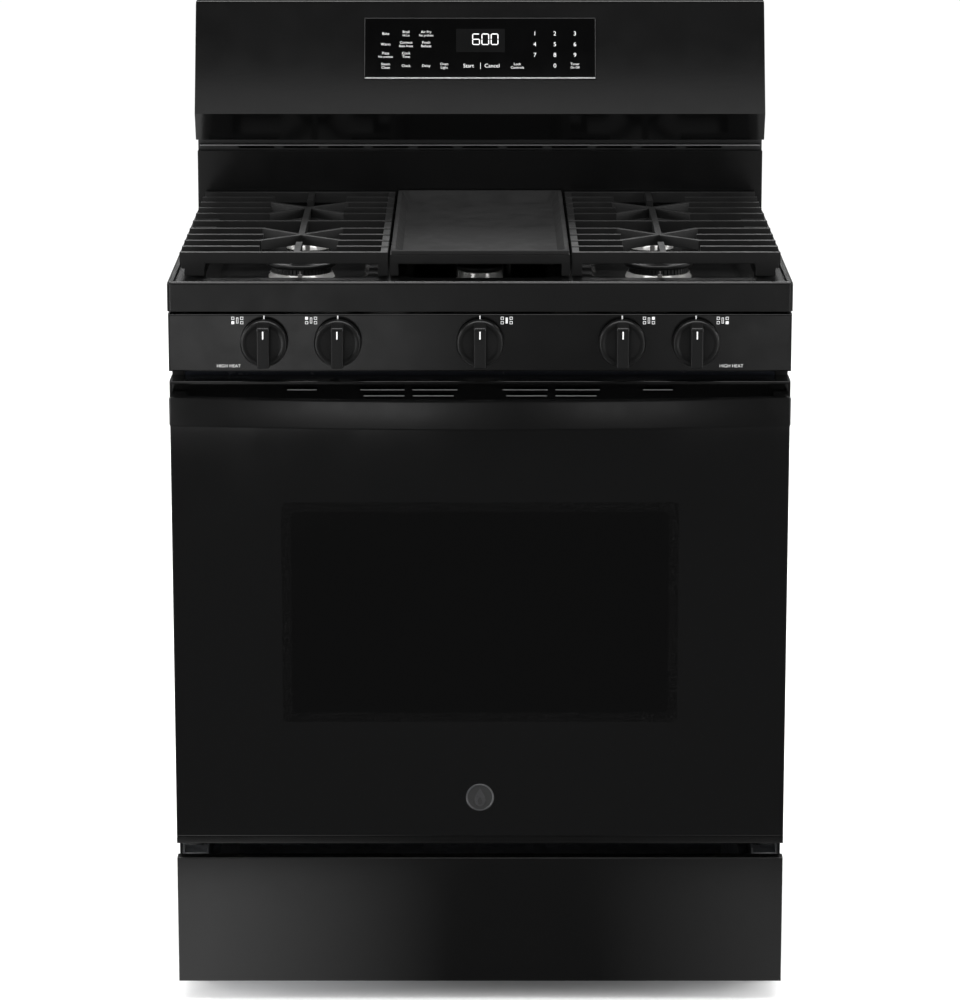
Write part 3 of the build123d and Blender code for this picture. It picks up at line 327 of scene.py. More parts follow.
def bare_metal(name, colour, rough, stretch=(1, 1, 1), scale=90.0, depth=0.00001, satin=0.0):
    """Bare metal with fine grain; satin is the part of it that scatters light like paint."""
    look = Look(name)
    grain = look.noise(scale, 4.0, 0.7, look.stretched(stretch))
    cloud = look.noise(14.0, 3.0)
    darker = tuple(c * 0.82 for c in colour)
    look.to("Base Color", look.blend(cloud, darker, colour))
    look.to("Roughness", look.ramp(grain, rough * 0.75, rough * 1.3))
    look.set(Metallic=1.0 - satin)
    look.bump(grain, depth)
    return look.material


def galvanised_sheet(name):
    """Zinc-coated sheet with its spangle."""
    look = Look(name)
    spangle = look.cells(95.0, output="Color")
    split = look.nodes.new("ShaderNodeSeparateColor")
    look.links.new(spangle, split.inputs[0])
    look.to("Base Color", look.blend(split.outputs[0], (0.42, 0.43, 0.45), (0.56, 0.57, 0.58)))
    look.to("Roughness", look.ramp(split.outputs[1], 0.34, 0.5, 0.0, 1.0))
    look.set(Metallic=1.0)
    look.bump(look.noise(240.0, 3.0), 0.00002)
    return look.material


def woven_braid(name, first, second):
    """Plaited fibre: two crossing sets of strands."""
    look = Look(name)
    waves = []
    for turn in (0.7, -0.7):
        mapping = look.nodes.new("ShaderNodeMapping")
        mapping.inputs["Rotation"].default_value = (0, turn, 0)
        look.links.new(look.place, mapping.inputs[0])
        wave = look.nodes.new("ShaderNodeTexWave")
        wave.inputs["Scale"].default_value = 150.0
        wave.inputs["Distortion"].default_value = 1.2
        look.links.new(mapping.outputs[0], wave.inputs["Vector"])
        waves.append(wave.outputs["Fac"])
    plait = look.calc("MULTIPLY", *waves)
    look.to("Base Color", look.blend(plait, first, second))
    look.set(Roughness=0.85, Sheen_Weight=0.3)
    look.bump(plait, 0.0006)
    return look.material


def clear_pane(name, tint, rough=0.02):
    """Glass to look through, with faint smears."""
    look = Look(name)
    look.set(Base_Color=(*tint, 1), Transmission_Weight=1.0, IOR=1.48)
    look.to("Roughness", look.ramp(look.noise(18.0, 3.0), rough, rough * 2.5))
    return look.material


def inside_rectangle(look, centre, half, corner):
    """1 inside a rounded rectangle in the XZ plane, 0 outside it."""
    split = look.nodes.new("ShaderNodeSeparateXYZ")
    look.links.new(look.place, split.inputs[0])
    beyond = []
    for axis, middle, reach in ((0, centre[0], half[0]), (2, centre[1], half[1])):
        away = look.calc("ABSOLUTE", look.calc("SUBTRACT", split.outputs[axis], middle))
        beyond.append(look.calc("MAXIMUM", look.calc("SUBTRACT", away, reach - corner), 0.0))
    squares = [look.calc("MULTIPLY", side, side) for side in beyond]
    distance = look.calc("SQRT", look.calc("ADD", *squares))
    return look.ramp(distance, 1.0, 0.0, corner - 0.0003, corner + 0.0003)


def door_glass_look(name, window_centre, window_half):
    """Black-backed glass; the window is a shade darker inside a band of printed dots."""
    look = Look(name)
    window = inside_rectangle(look, window_centre, window_half, 0.006)
    band = inside_rectangle(look, window_centre, [half - 0.012 for half in window_half], 0.006)
    dots = look.ramp(look.cells(700.0), 1.0, 0.0, 0.25, 0.4)
    edge = look.calc("MULTIPLY", look.calc("SUBTRACT", window, band), dots)
    dark = look.blend(window, grey(0.0030, 0.03), grey(0.0008, 0.03))
    look.to("Base Color", look.blend(edge, dark, grey(0.007)))
    look.to("Roughness", look.ramp(look.noise(9.0, 4.0), 0.05, 0.09))
    look.set(IOR=1.5)
    return look.material


def touch_glass_look(name, shade=0.0014):
    """Anti-glare black glass over the keys."""
    look = Look(name)
    look.to("Base Color", look.blend(look.noise(8.0), grey(shade * 0.6), grey(shade, 0.05)))
    look.to("Roughness", look.ramp(look.noise(40.0, 4.0), 0.06, 0.1))
    look.set(IOR=1.5, Specular_IOR_Level=0.14)
    return look.material


def printed(name, level):
    """Screen-printed ink with tiny pinholes."""
    look = Look(name)
    look.to("Base Color", look.blend(look.noise(2500.0), grey(level * 0.9), grey(level)))
    look.set(Roughness=0.5)
    look.bump(look.noise(3000.0), 0.000005)
    return look.material


def lit(name, strength):
    """A white surface that glows by itself."""
    look = Look(name)
    look.to("Base Color", look.blend(look.noise(900.0), (0.5, 0.5, 0.5), (0.6, 0.6, 0.6)))
    look.set(Emission_Color=(1, 1, 1, 1), Emission_Strength=strength)
    return look.material


def make_looks():
    """One material for each slot of the record, and the prints and lights."""
    door_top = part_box("door_top_trim")[1].z
    return {
        "side_paint": coated("side_paint", 0.005, 0.42, 0.00006, 700.0),
        "black_steel": coated("black_steel", 0.0022, 0.17),
        "head_enamel": coated("head_enamel", 0.0022, 0.11),
        "top_enamel": coated("top_enamel", 0.0022, 0.24, 0.00003, 260.0),
        "handle_paint": coated("handle_paint", 0.0022, 0.17),
        "cap_enamel": coated("cap_enamel", 0.004, 0.42, 0.00006, 1200.0),
        "vent_metal": coated("vent_metal", 0.03, 0.36),
        "oven_enamel": speckled_enamel("oven_enamel"),
        "knob_plastic": coated("knob_plastic", 0.004, 0.34, 0.00001, 900.0),
        "dark_plastic": coated("dark_plastic", 0.02, 0.55, 0.00005, 800.0),
        "grate_iron": cast_metal("grate_iron", 0.0065, 0.55, shine=0.35),
        "griddle_iron": cast_metal("griddle_iron", 0.013, 0.75, 0.00006, 1400.0, 0.2),
        "burner_aluminium": bare_metal("burner_aluminium", (0.92, 0.91, 0.89), 0.2, (1, 1, 6), satin=0.4),
        # Dark grey for the burner crowns: partly dull heat-darkened cast metal, partly painted shade under
        # the caps.
        "dull_aluminium": bare_metal("dull_aluminium", (0.16, 0.16, 0.16), 0.5, scale=300.0, depth=0.00005),
        "cast_aluminium": bare_metal("cast_aluminium", (0.5, 0.5, 0.5), 0.5, scale=300.0, depth=0.0001),
        "badge_metal": bare_metal("badge_metal", (0.34, 0.34, 0.35), 0.34, (1, 1, 12)),
        "zinc_steel": bare_metal("zinc_steel", (0.6, 0.6, 0.58), 0.36),
        "rack_chrome": bare_metal("rack_chrome", (0.78, 0.78, 0.8), 0.12),
        "valve_brass": bare_metal("valve_brass", (0.72, 0.55, 0.26), 0.3, (1, 8, 1)),
        "galvanised": galvanised_sheet("galvanised"),
        "seal_braid": woven_braid("seal_braid", (0.05, 0.05, 0.05), (0.2, 0.2, 0.19)),
        "mineral_wool": woven_braid("mineral_wool", (0.4, 0.34, 0.2), (0.66, 0.58, 0.4)),
        "white_ceramic": coated("white_ceramic", 0.16, 0.3, tint=-0.05),
        "lamp_glass": clear_pane("lamp_glass", (0.95, 0.95, 0.92), 0.1),
        "clear_glass": clear_pane("clear_glass", (0.5, 0.52, 0.5)),
        "black_glass": door_glass_look("black_glass", (0, door_top - 0.2905), (0.244, 0.1395)),
        "touch_glass": touch_glass_look("touch_glass"),
        "print_white": printed("print_white", 0.9),
        # The key names are printed lettering made to glow: painted light, not a lamp.
        "glowing_key_print": lit("glowing_key_print", 0.55),
        "print_grey": printed("print_grey", 0.035),
        "badge_dark": coated("badge_dark", 0.02, 0.4),
        # Light grey on the black lips of the air slots and the vent: a painted highlight on their rolled
        # edges.
        "lip_painted_highlight": coated("lip_painted_highlight", 0.16, 0.3),
        "display_filter": touch_glass_look("display_filter", 0.006),
        "silver_line": bare_metal("silver_line", (0.75, 0.75, 0.76), 0.25, (1, 10, 10)),
        "display_digits": lit("display_digits", 1.1),
    }


looks = make_looks()


# --- Mesh tools -------------------------------------------------------------------------------
def soften(bm, angle=35.0):
    """Smooth shading with sharp edges kept where two faces meet at more than the angle."""
    limit = math.radians(angle)
    for face in bm.faces:
        face.smooth = True
    for edge in bm.edges:
        edge.smooth = len(edge.link_faces) == 2 and edge.calc_face_angle(0.0) < limit


def piece(name, bm, body, slot, look=None, replaces=()):
    """Turn mesh data into a piece that rides on a body."""
    soften(bm)
    mesh = bpy.data.meshes.new(name)
    bm.to_mesh(mesh)
    bm.free()
    mesh.materials.append(looks[look or slot])
    obj = bpy.data.objects.new(name, mesh)
    bpy.context.scene.collection.objects.link(obj)
    flat = obj.modifiers.new("flat_faces_stay_flat", "WEIGHTED_NORMAL")
    flat.keep_sharp = True
    flat.weight = 90
    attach(obj, body)
    if replaces:
        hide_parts(*replaces)


def refined(node, bevel_mm):
    """A CAD node's shape with its flat faces merged and its edges rounded."""
    sharp_from = math.radians(30)
    bm = bmesh.new()
    bm.from_mesh(frame["nodes"][node].data)
    bmesh.ops.remove_doubles(bm, verts=bm.verts, dist=1e-6)
    bmesh.ops.dissolve_limit(bm, angle_limit=math.radians(1.0), verts=bm.verts, edges=bm.edges)
    sharp = [e for e in bm.edges if len(e.link_faces) == 2 and e.calc_face_angle(0.0) > sharp_from]
    bmesh.ops.bevel(bm, geom=sharp, offset=bevel_mm * MM, segments=2, profile=0.5,
                    affect="EDGES", clamp_overlap=True)
    piece(node + "_finished", bm, BODY_OF[node], SLOT_OF[node], LOOK_OF.get(node), replaces=(node,))


def add_block(bm, low, high, bevel=0.0, segments=2, matrix=None):
    """Add a box with rounded edges, from its lowest to its highest corner."""
    part = bmesh.new()
    bmesh.ops.create_cube(part, size=1.0)
    size = Vector(high) - Vector(low)
    middle = (Vector(high) + Vector(low)) / 2
    placed = Matrix.Translation(middle) @ Matrix.Diagonal((*size, 1))
    bmesh.ops.transform(part, matrix=placed, verts=part.verts)
    if bevel:
        bmesh.ops.bevel(part, geom=part.edges[:], offset=bevel, segments=segments, profile=0.5,
                        affect="EDGES", clamp_overlap=True)
    add_mesh(bm, part, matrix)


def add_mesh(bm, part, matrix=None):
    """Move one mesh into another and free it."""
    if matrix is not None:
        bmesh.ops.transform(part, matrix=matrix, verts=part.verts)
    mesh = bpy.data.meshes.new("part")
    part.to_mesh(mesh)
    part.free()
    bm.from_mesh(mesh)
    bpy.data.meshes.remove(mesh)


def add_lathe(bm, profile, steps=64, matrix=None):
    """Add a turned solid; the profile runs from the axis back to the axis as (radius, height)."""
    part = bmesh.new()
    rings = []
    for radius, height in profile:
        if radius < 1e-7:
            rings.append([part.verts.new((0, 0, height))])
        else:
            rings.append([part.verts.new((radius * math.cos(2 * math.pi * i / steps),
                                          radius * math.sin(2 * math.pi * i / steps), height))
                          for i in range(steps)])
    for lower, upper in zip(rings, rings[1:]):
        for i in range(steps):
            j = (i + 1) % steps
            corners = [lower[i % len(lower)], lower[j % len(lower)],
                       upper[j % len(upper)], upper[i % len(upper)]]
            unique = list(dict.fromkeys(corners))
            if len(unique) > 2:
                part.faces.new(unique)
    bmesh.ops.recalc_face_normals(part, faces=part.faces)
    add_mesh(bm, part, matrix)


def add_prism(bm, outline, depth, bevel=0.0, segments=2, matrix=None):
    """Add a flat outline in XY given a depth along Z, with its edges rounded."""
    part = bmesh.new()
    face = part.faces.new([part.verts.new((x, y, 0)) for x, y in outline])
    extruded = bmesh.ops.extrude_face_region(part, geom=[face])
    moved = [v for v in extruded["geom"] if isinstance(v, bmesh.types.BMVert)]
    bmesh.ops.translate(part, vec=(0, 0, depth), verts=moved)
    bmesh.ops.recalc_face_normals(part, faces=part.faces)
    if bevel:
        sharp = [e for e in part.edges if e.calc_face_angle(0.0) > math.radians(20)]
        bmesh.ops.bevel(part, geom=sharp, offset=bevel, segments=segments, profile=0.5, affect="EDGES",
                        clamp_overlap=True)
    add_mesh(bm, part, matrix)


def add_tapered_prism(bm, section, low, high, width_scale, length_scale, bevel, matrix):
    """Add a section that narrows towards its top, with the top edge rounded."""
    part = bmesh.new()
    rows = []
    for height, sx, sy in ((low, 1.0, 1.0), (high - 0.12 * MM, width_scale, length_scale)):
        rows.append([part.verts.new((x * sx, y * sy, height)) for x, y in section])
    count = len(section)
    for i in range(count):
        j = (i + 1) % count
        part.faces.new((rows[0][i], rows[0][j], rows[1][j], rows[1][i]))
    top = part.faces.new(rows[1])
    part.faces.new(list(reversed(rows[0])))
    bmesh.ops.recalc_face_normals(part, faces=part.faces)
    bmesh.ops.bevel(part, geom=list(top.edges), offset=bevel, segments=4, profile=0.5, affect="EDGES",
                    clamp_overlap=True)
    add_mesh(bm, part, matrix)


# --- Panels, door, drawer, grates: the CAD shapes with rolled and moulded edges ----------------
EDGE_MM = {
    "side_panel_left": 0.5, "side_panel_right": 0.5, "rear_panel": 0.5, "rear_cover": 0.4, "cooktop": 1.2,
    "control_housing": 1.4, "riser_panel": 0.5, "vent_trim": 0.6, "manifold_panel": 0.9,
    "drawer_front": 0.4, "door_glass": 0.8, "door_top_trim": 0.7, "door_bottom_trim": 0.5,
    "door_handle": 3.0, "control_glass": 0.8, "grate_left": 1.4, "grate_right": 1.4, "grate_centre": 1.2,
    "griddle": 1.0, "door_liner": 0.6, "leveling_legs": 0.6, "fan_cover": 0.4, "gas_regulator": 0.6,
    "power_inlet": 0.5,
}
# Nodes whose look is finer than their slot's.
LOOK_OF = {"control_housing": "head_enamel"}


def make_finished_nodes():
    for node, edge in EDGE_MM.items():
        refined(node, edge)


# --- Burners ----------------------------------------------------------------------------------
def centre_of(low, high):
    return (Vector(low) + Vector(high)) / 2


def solids_of(node):
    """The lowest and highest corners of each separate solid of a node."""
    bm = bmesh.new()
    bm.from_mesh(frame["nodes"][node].data)
    bmesh.ops.remove_doubles(bm, verts=bm.verts, dist=1e-6)
    seen, boxes = set(), []
    for start in bm.verts:
        if start.index in seen:
            continue
        stack, group = [start], []
        seen.add(start.index)
        while stack:
            vert = stack.pop()
            group.append(vert.co.copy())
            for edge in vert.link_edges:
                other = edge.other_vert(vert)
                if other.index not in seen:
                    seen.add(other.index)
                    stack.append(other)
        low = Vector(min(co[axis] for co in group) for axis in range(3))
        high = Vector(max(co[axis] for co in group) for axis in range(3))
        boxes.append((low, high))
    bm.free()
    return sorted(boxes, key=lambda box: (round(box[0].x, 3), round(box[0].y, 3)))


def add_notched_ring(bm, radius, low, high, notches, notch_depth, matrix):
    """A crown ring whose rim is cut by flame ports between its teeth."""
    steps_per_notch = 6
    steps = notches * steps_per_notch
    part = bmesh.new()
    rows = []
    for height, offset in ((low, 0.0), (low + 0.15 * (high - low), 0.0), (high, -0.6 * MM)):
        row = []
        for i in range(steps):
            cut = notch_depth if i % steps_per_notch == 0 and height > low else 0.0
            reach = radius + offset - cut
            turn = 2 * math.pi * i / steps
            row.append(part.verts.new((reach * math.cos(turn), reach * math.sin(turn), height)))
        rows.append(row)
    for lower, upper in zip(rows, rows[1:]):
        for i in range(steps):
            j = (i + 1) % steps
            part.faces.new((lower[i], lower[j], upper[j], upper[i]))
    part.faces.new(rows[-1])
    part.faces.new(list(reversed(rows[0])))
    add_mesh(bm, part, matrix)


BURNER_RISE = 15 * MM  # from the burner well's floor to the top of a burner head


def round_base(radius, floor):
    """The polished base: a foot below the floor, a short wall and a cone that leans inwards."""
    foot = floor - 14 * MM
    return [(0, foot), (radius * 0.7, foot), (radius * 0.7, floor + 0.3 * MM),
            (radius - 0.8 * MM, floor + 0.3 * MM), (radius, floor + 1.1 * MM), (radius, floor + 2.0 * MM),
            (radius - 2.6 * MM, floor + 7.0 * MM), (radius - 3.4 * MM, floor + 7.6 * MM),
            (0, floor + 7.6 * MM)]


def round_cap(edge, bottom, top):
    """The cap: a rounded rim, a low shoulder and a shallow dish in its middle."""
    return [(0, bottom), (edge - 1.2 * MM, bottom), (edge - 0.3 * MM, bottom + 0.5 * MM),
            (edge, bottom + 1.6 * MM), (edge, top - 3.0 * MM), (edge - 0.5 * MM, top - 1.9 * MM),
            (edge - 1.8 * MM, top - 1.1 * MM), (edge - 5.0 * MM, top - 0.5 * MM), (edge * 0.72, top),
            (edge * 0.64, top - 0.1 * MM), (edge * 0.60, top - 0.7 * MM), (0, top - 0.9 * MM)]


def make_round_burners():
    """Polished bases, dull ported crowns made darker, partly by heat and partly as painted shade under the
    caps, and matt enamelled caps.
    """
    bases, crowns, caps = bmesh.new(), bmesh.new(), bmesh.new()
    teeth_per_mm = 1.15
    for head_box, cap_box in zip(solids_of("round_burner_heads"), solids_of("round_burner_caps")):
        low, high = head_box
        cap_low, cap_high = cap_box
        middle = centre_of(low, high)
        radius = (high.x - low.x) / 2
        floor = high.z - BURNER_RISE
        at = Matrix.Translation((middle.x, middle.y, 0))
        add_lathe(bases, round_base(radius, floor), 96, at)
        teeth = round(radius / MM * teeth_per_mm)
        add_notched_ring(crowns, radius - 4.4 * MM, floor + 7 * MM, high.z, teeth, 1.6 * MM, at)
        add_lathe(caps, round_cap((cap_high.x - cap_low.x) / 2, cap_low.z, cap_high.z), 96, at)
    piece("round_burner_bases_polished", bases, "range_body", "burner_aluminium",
          replaces=("round_burner_heads",))
    piece("round_burner_crowns_ported", crowns, "range_body", "burner_aluminium", "dull_aluminium")
    piece("round_burner_caps_enamelled", caps, "range_body", "cap_enamel", replaces=("round_burner_caps",))


def stadium(half, half_length, steps):
    """The outline of an oval burner about its centre: two half circles joined by straight sides."""
    points = []
    for sign, start in ((1, 0.0), (-1, math.pi)):
        for i in range(steps + 1):
            turn = start + math.pi * i / steps
            points.append((half * math.cos(turn), sign * (half_length - half) + half * math.sin(turn)))
    return points


def make_oval_burner():
    """The middle burner: a polished head that narrows a little upwards, a dull crown made darker partly as
    painted shade under the cap, and a flat cap.
    """
    low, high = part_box("oval_burner_head")
    cap_low, cap_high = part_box("oval_burner_cap")
    half, half_length, floor = high.x, (high.y - low.y) / 2, high.z - BURNER_RISE
    middle = Matrix.Translation((0, (low.y + high.y) / 2, 0))
    head, crown, cap = bmesh.new(), bmesh.new(), bmesh.new()
    foot_inset, top_inset, crown_inset, crown_height = 0.5 * MM, 2.5 * MM, 4 * MM, 1.6 * MM
    foot = stadium(half - foot_inset, half_length - foot_inset, 40)
    narrow = (half - top_inset) / (half - foot_inset)
    narrow_length = (half_length - top_inset) / (half_length - foot_inset)
    add_tapered_prism(head, foot, floor + 0.3 * MM, high.z - 0.8 * MM, narrow, narrow_length,
                      0.8 * MM, middle)
    add_prism(crown, stadium(half - crown_inset, half_length - crown_inset, 40), crown_height,
              matrix=middle @ Matrix.Translation((0, 0, high.z - crown_height)))
    cap_half, cap_length = cap_high.x, (cap_high.y - cap_low.y) / 2
    add_prism(cap, stadium(cap_half, cap_length, 40), cap_high.z - cap_low.z, 1.8 * MM, 4,
              middle @ Matrix.Translation((0, 0, cap_low.z)))
    piece("oval_burner_head_polished", head, "range_body", "burner_aluminium",
          replaces=("oval_burner_head",))
    piece("oval_burner_crown_ported", crown, "range_body", "burner_aluminium", "dull_aluminium")
    piece("oval_burner_cap_enamelled", cap, "range_body", "cap_enamel", replaces=("oval_burner_cap",))


# --- Knobs ------------------------------------------------------------------------------------
KNOB_SKIRT = 12 * MM  # how far the round skirt stands out from the panel


def knob_skirt(radius):
    """The skirt's turned profile as (radius, height): a rounded edge and a dished front."""
    return [(0, 0.0), (3.3 * MM, 0.0), (radius - 1.0 * MM, 0.0), (radius - 0.3 * MM, 0.4 * MM),
            (radius, 1.2 * MM), (radius - 0.3 * MM, 8.6 * MM), (radius - 0.9 * MM, 10.6 * MM),
            (radius - 2.2 * MM, 11.7 * MM), (radius - 4.2 * MM, KNOB_SKIRT),
            (radius - 6.5 * MM, KNOB_SKIRT - 0.5 * MM), (radius - 9.0 * MM, KNOB_SKIRT - 1.3 * MM),
            (6.0 * MM, KNOB_SKIRT - 1.6 * MM), (0, KNOB_SKIRT - 1.6 * MM)]


def make_knob(node):
    """A moulded knob: a dished skirt and a grip bar across it, with a white pointer line."""
    low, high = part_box(node)
    middle = centre_of(low, high)
    radius, depth = (high.x - low.x) / 2, high.y - low.y
    turned = Matrix.Translation((middle.x, high.y, middle.z)) @ Matrix.Rotation(math.radians(90), 4, "X")
    bm = bmesh.new()
    add_lathe(bm, knob_skirt(radius), 96, turned)
    # The grip bar from the side, as (up, out): its upper end slopes back to the skirt.
    side_view = [(27.0 * MM, KNOB_SKIRT - 2 * MM), (22.5 * MM, depth - 1.5 * MM),
                 (19.0 * MM, depth - 0.1 * MM), (-27.0 * MM, depth - 0.1 * MM),
                 (-28.3 * MM, KNOB_SKIRT - 2 * MM)]
    grip_half = 7.4 * MM
    along_x = turned @ Matrix(((0, 0, 1, -grip_half), (1, 0, 0, 0), (0, 1, 0, 0), (0, 0, 0, 1)))
    add_prism(bm, side_view, 2 * grip_half, 1.5 * MM, 4, along_x)
    piece(node + "_moulded", bm, BODY_OF[node], "knob_plastic", replaces=(node,))
    mark = bmesh.new()
    add_block(mark, (middle.x - 0.8 * MM, low.y, middle.z + 9 * MM),
              (middle.x + 0.8 * MM, low.y + 0.8 * MM, middle.z + 18.5 * MM), 0.2 * MM)
    piece(node + "_pointer", mark, BODY_OF[node], "knob_plastic", "print_white")


# --- Prints -----------------------------------------------------------------------------------
def front_plane(node):
    """The centre and directions of a node's largest face that looks forward."""
    mesh = frame["nodes"][node].data
    areas = {}
    for polygon in mesh.polygons:
        if polygon.normal.y < -0.5:
            key = tuple(round(c, 2) for c in polygon.normal)
            areas[key] = areas.get(key, 0.0) + polygon.area
    normal = Vector(max(areas, key=areas.get)).normalized()
    corners = [mesh.vertices[i].co for polygon in mesh.polygons if polygon.normal.dot(normal) > 0.999
               for i in polygon.vertices]
    face = max(corner.dot(normal) for corner in corners)
    low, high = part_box(node)
    middle = centre_of(low, high)
    origin = middle + normal * (face - middle.dot(normal))
    up = normal.cross(X_AXIS).normalized()
    if up.z < 0:
        up = -up
    right = up.cross(normal)
    rotation = Matrix((right, up, normal)).transposed().to_4x4()
    return Matrix.Translation(origin) @ rotation


PRINT_THICK = 0.06 * MM


def add_text(bm, text, size, x, y, matrix):
    """Add flat lettering centred on x and y of a plane."""
    curve = bpy.data.curves.new("text", "FONT")
    curve.body = text
    curve.size = size
    curve.align_x, curve.align_y = "CENTER", "CENTER"
    curve.resolution_u = 3
    curve.offset = -0.006 * size
    obj = bpy.data.objects.new("text", curve)
    bpy.context.scene.collection.objects.link(obj)
    bpy.context.view_layer.update()
    mesh = bpy.data.meshes.new_from_object(obj)
    bpy.data.objects.remove(obj)
    bpy.data.curves.remove(curve)
    part = bmesh.new()
    part.from_mesh(mesh)
    bpy.data.meshes.remove(mesh)
    thicken(part)
    add_mesh(bm, part, matrix @ Matrix.Translation((x, y, 0)))


def thicken(part):
    """Give a flat print a little thickness, so that it is closed."""
    faces = part.faces[:]
    extruded = bmesh.ops.extrude_face_region(part, geom=faces, use_keep_orig=True)
    moved = [v for v in extruded["geom"] if isinstance(v, bmesh.types.BMVert)]
    bmesh.ops.translate(part, vec=(0, 0, PRINT_THICK), verts=moved)
    bmesh.ops.recalc_face_normals(part, faces=part.faces)


def add_bar(bm, x, y, width, height, matrix, raised=PRINT_THICK):
    """Add a flat printed rectangle centred on x and y of a plane."""
    add_block(bm, (x - width / 2, y - height / 2, 0), (x + width / 2, y + height / 2, raised),
              matrix=matrix)


# Which of the seven segments each digit lights, lettered clockwise from the top with g in the middle.
SEGMENTS = {"6": "afgedc", "0": "abcdef"}


def add_digit(bm, shape, x, y, width, height, matrix):
    """Add one seven-segment digit."""
    line, half_w, half_h = 1.05 * MM, width / 2, height / 2
    rows = {"a": half_h, "g": 0.0, "d": -half_h}
    columns = {"f": (-half_w, half_h / 2), "b": (half_w, half_h / 2),
               "e": (-half_w, -half_h / 2), "c": (half_w, -half_h / 2)}
    for segment in SEGMENTS[shape]:
        if segment in rows:
            add_bar(bm, x, y + rows[segment], width - line * 1.2, line, matrix)
        else:
            dx, dy = columns[segment]
            add_bar(bm, x + dx, y + dy, line, half_h - line * 1.1, matrix)


# Columns and rows of the keys, in mm from the touch glass's middle.
KEY_COLUMNS = (-125.7, -98.5, -71.7, -47.6, 49.7, 126.5)
KEY_ROWS = (20.0, 5.4, -9.3, -24.1)
# The names in each row, column by column, as first and second line.
KEY_NAMES = (
    (("Bake", ""), ("Broil", "Hi Lo"), ("Air Fry", "No preheat")),
    (("Warm", ""), ("Convect", "Bake Roast"), ("Fresh", "Reheat")),
    (("Pizza", "No preheat"), ("Cook", "Time")),
    (("Steam", "Clean"), ("Clock", ""), ("Delay", ""), ("Oven", "Light"), ("Lock", "Controls"),
     ("Timer", "On Off")),
)
WORD_SIZE = 4.9 * MM
SMALL_WORD_SIZE = 4.1 * MM
SMALL_WORDS = ("No preheat", "Bake Roast", "Hi Lo", "On Off")
LINE_LIFT = 2.4 * MM
START_SIZE = 7.4 * MM
NUMBER_SIZE = 8.2 * MM
# The number keys: the first column, the distances between columns and rows, and the column of the 0.
NUMBER_LEFT, NUMBER_PITCH, NUMBER_DROP, ZERO_COLUMN = 73.1, 26.7, 14.7, 99.8


def make_control_prints():
    """Key names, keypad, display digits, and the silver line round the touch glass."""
    plane = front_plane("control_glass")
    prints = bmesh.new()
    for row, names in zip(KEY_ROWS, KEY_NAMES):
        for column, (first, second) in zip(KEY_COLUMNS, names):
            x, y = column * MM, row * MM
            lift = LINE_LIFT if second else 0.0
            add_text(prints, first, WORD_SIZE, x, y + lift, plane)
            if second:
                size = SMALL_WORD_SIZE if second in SMALL_WORDS else WORD_SIZE
                add_text(prints, second, size, x, y - lift, plane)
    foot = KEY_ROWS[-1] * MM
    for text, x in (("Start", -15.3 * MM), ("Cancel", 16.1 * MM)):
        add_text(prints, text, START_SIZE, x, foot, plane)
    add_bar(prints, 0.7 * MM, foot, 0.5 * MM, 9 * MM, plane)
    for key in range(1, 10):
        x = NUMBER_LEFT + NUMBER_PITCH * ((key - 1) % 3)
        y = KEY_ROWS[0] - NUMBER_DROP * ((key - 1) // 3)
        add_text(prints, str(key), NUMBER_SIZE, x * MM, y * MM, plane)
    add_text(prints, "0", NUMBER_SIZE, ZERO_COLUMN * MM, foot, plane)
    # The printed key names glow: painted light.
    piece("key_labels", prints, "range_body", "touch_glass", "glowing_key_print")
    window = bmesh.new()
    add_bar(window, 0.7 * MM, 10.7 * MM, 65 * MM, 32 * MM, plane, 0.00003)
    piece("display_window", window, "range_body", "touch_glass", "display_filter")
    digits = bmesh.new()
    for index, shape in enumerate("600"):
        add_digit(digits, shape, (-5.2 + 12.3 * index) * MM, 12.4 * MM, 9.0 * MM, 14.4 * MM, plane)
    piece("display_digits", digits, "range_body", "touch_glass", "display_digits")
    low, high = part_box("control_glass")
    half_x = (high.x - low.x) / 2
    half_y = math.hypot(high.z - low.z, high.y - low.y) / 2 - 0.6 * MM
    trim = bmesh.new()
    add_block(trim, (-half_x + 1 * MM, -half_y + 0.2 * MM, -0.4 * MM),
              (half_x - 1 * MM, -half_y + 2.4 * MM, 0.25 * MM), 0.3 * MM, 3, plane)
    piece("glass_silver_line", trim, "range_body", "touch_glass", "silver_line")
    outline = bmesh.new()
    add_bar(outline, 0, half_y - 0.9 * MM, 2 * half_x - 3 * MM, 0.6 * MM, plane)
    for side in (-1, 1):
        add_bar(outline, side * (half_x - 0.9 * MM), 0.8 * MM, 0.6 * MM, 2 * half_y - 4 * MM, plane)
    piece("glass_outline", outline, "range_body", "touch_glass", "print_grey")


# Where each knob's burner lies on the cooktop: left or right, and front or rear.
BURNER_SPOTS = {"front_left": (-1, -1), "rear_left": (-1, 1), "centre": (0, 0),
                "rear_right": (1, 1), "front_right": (1, -1)}


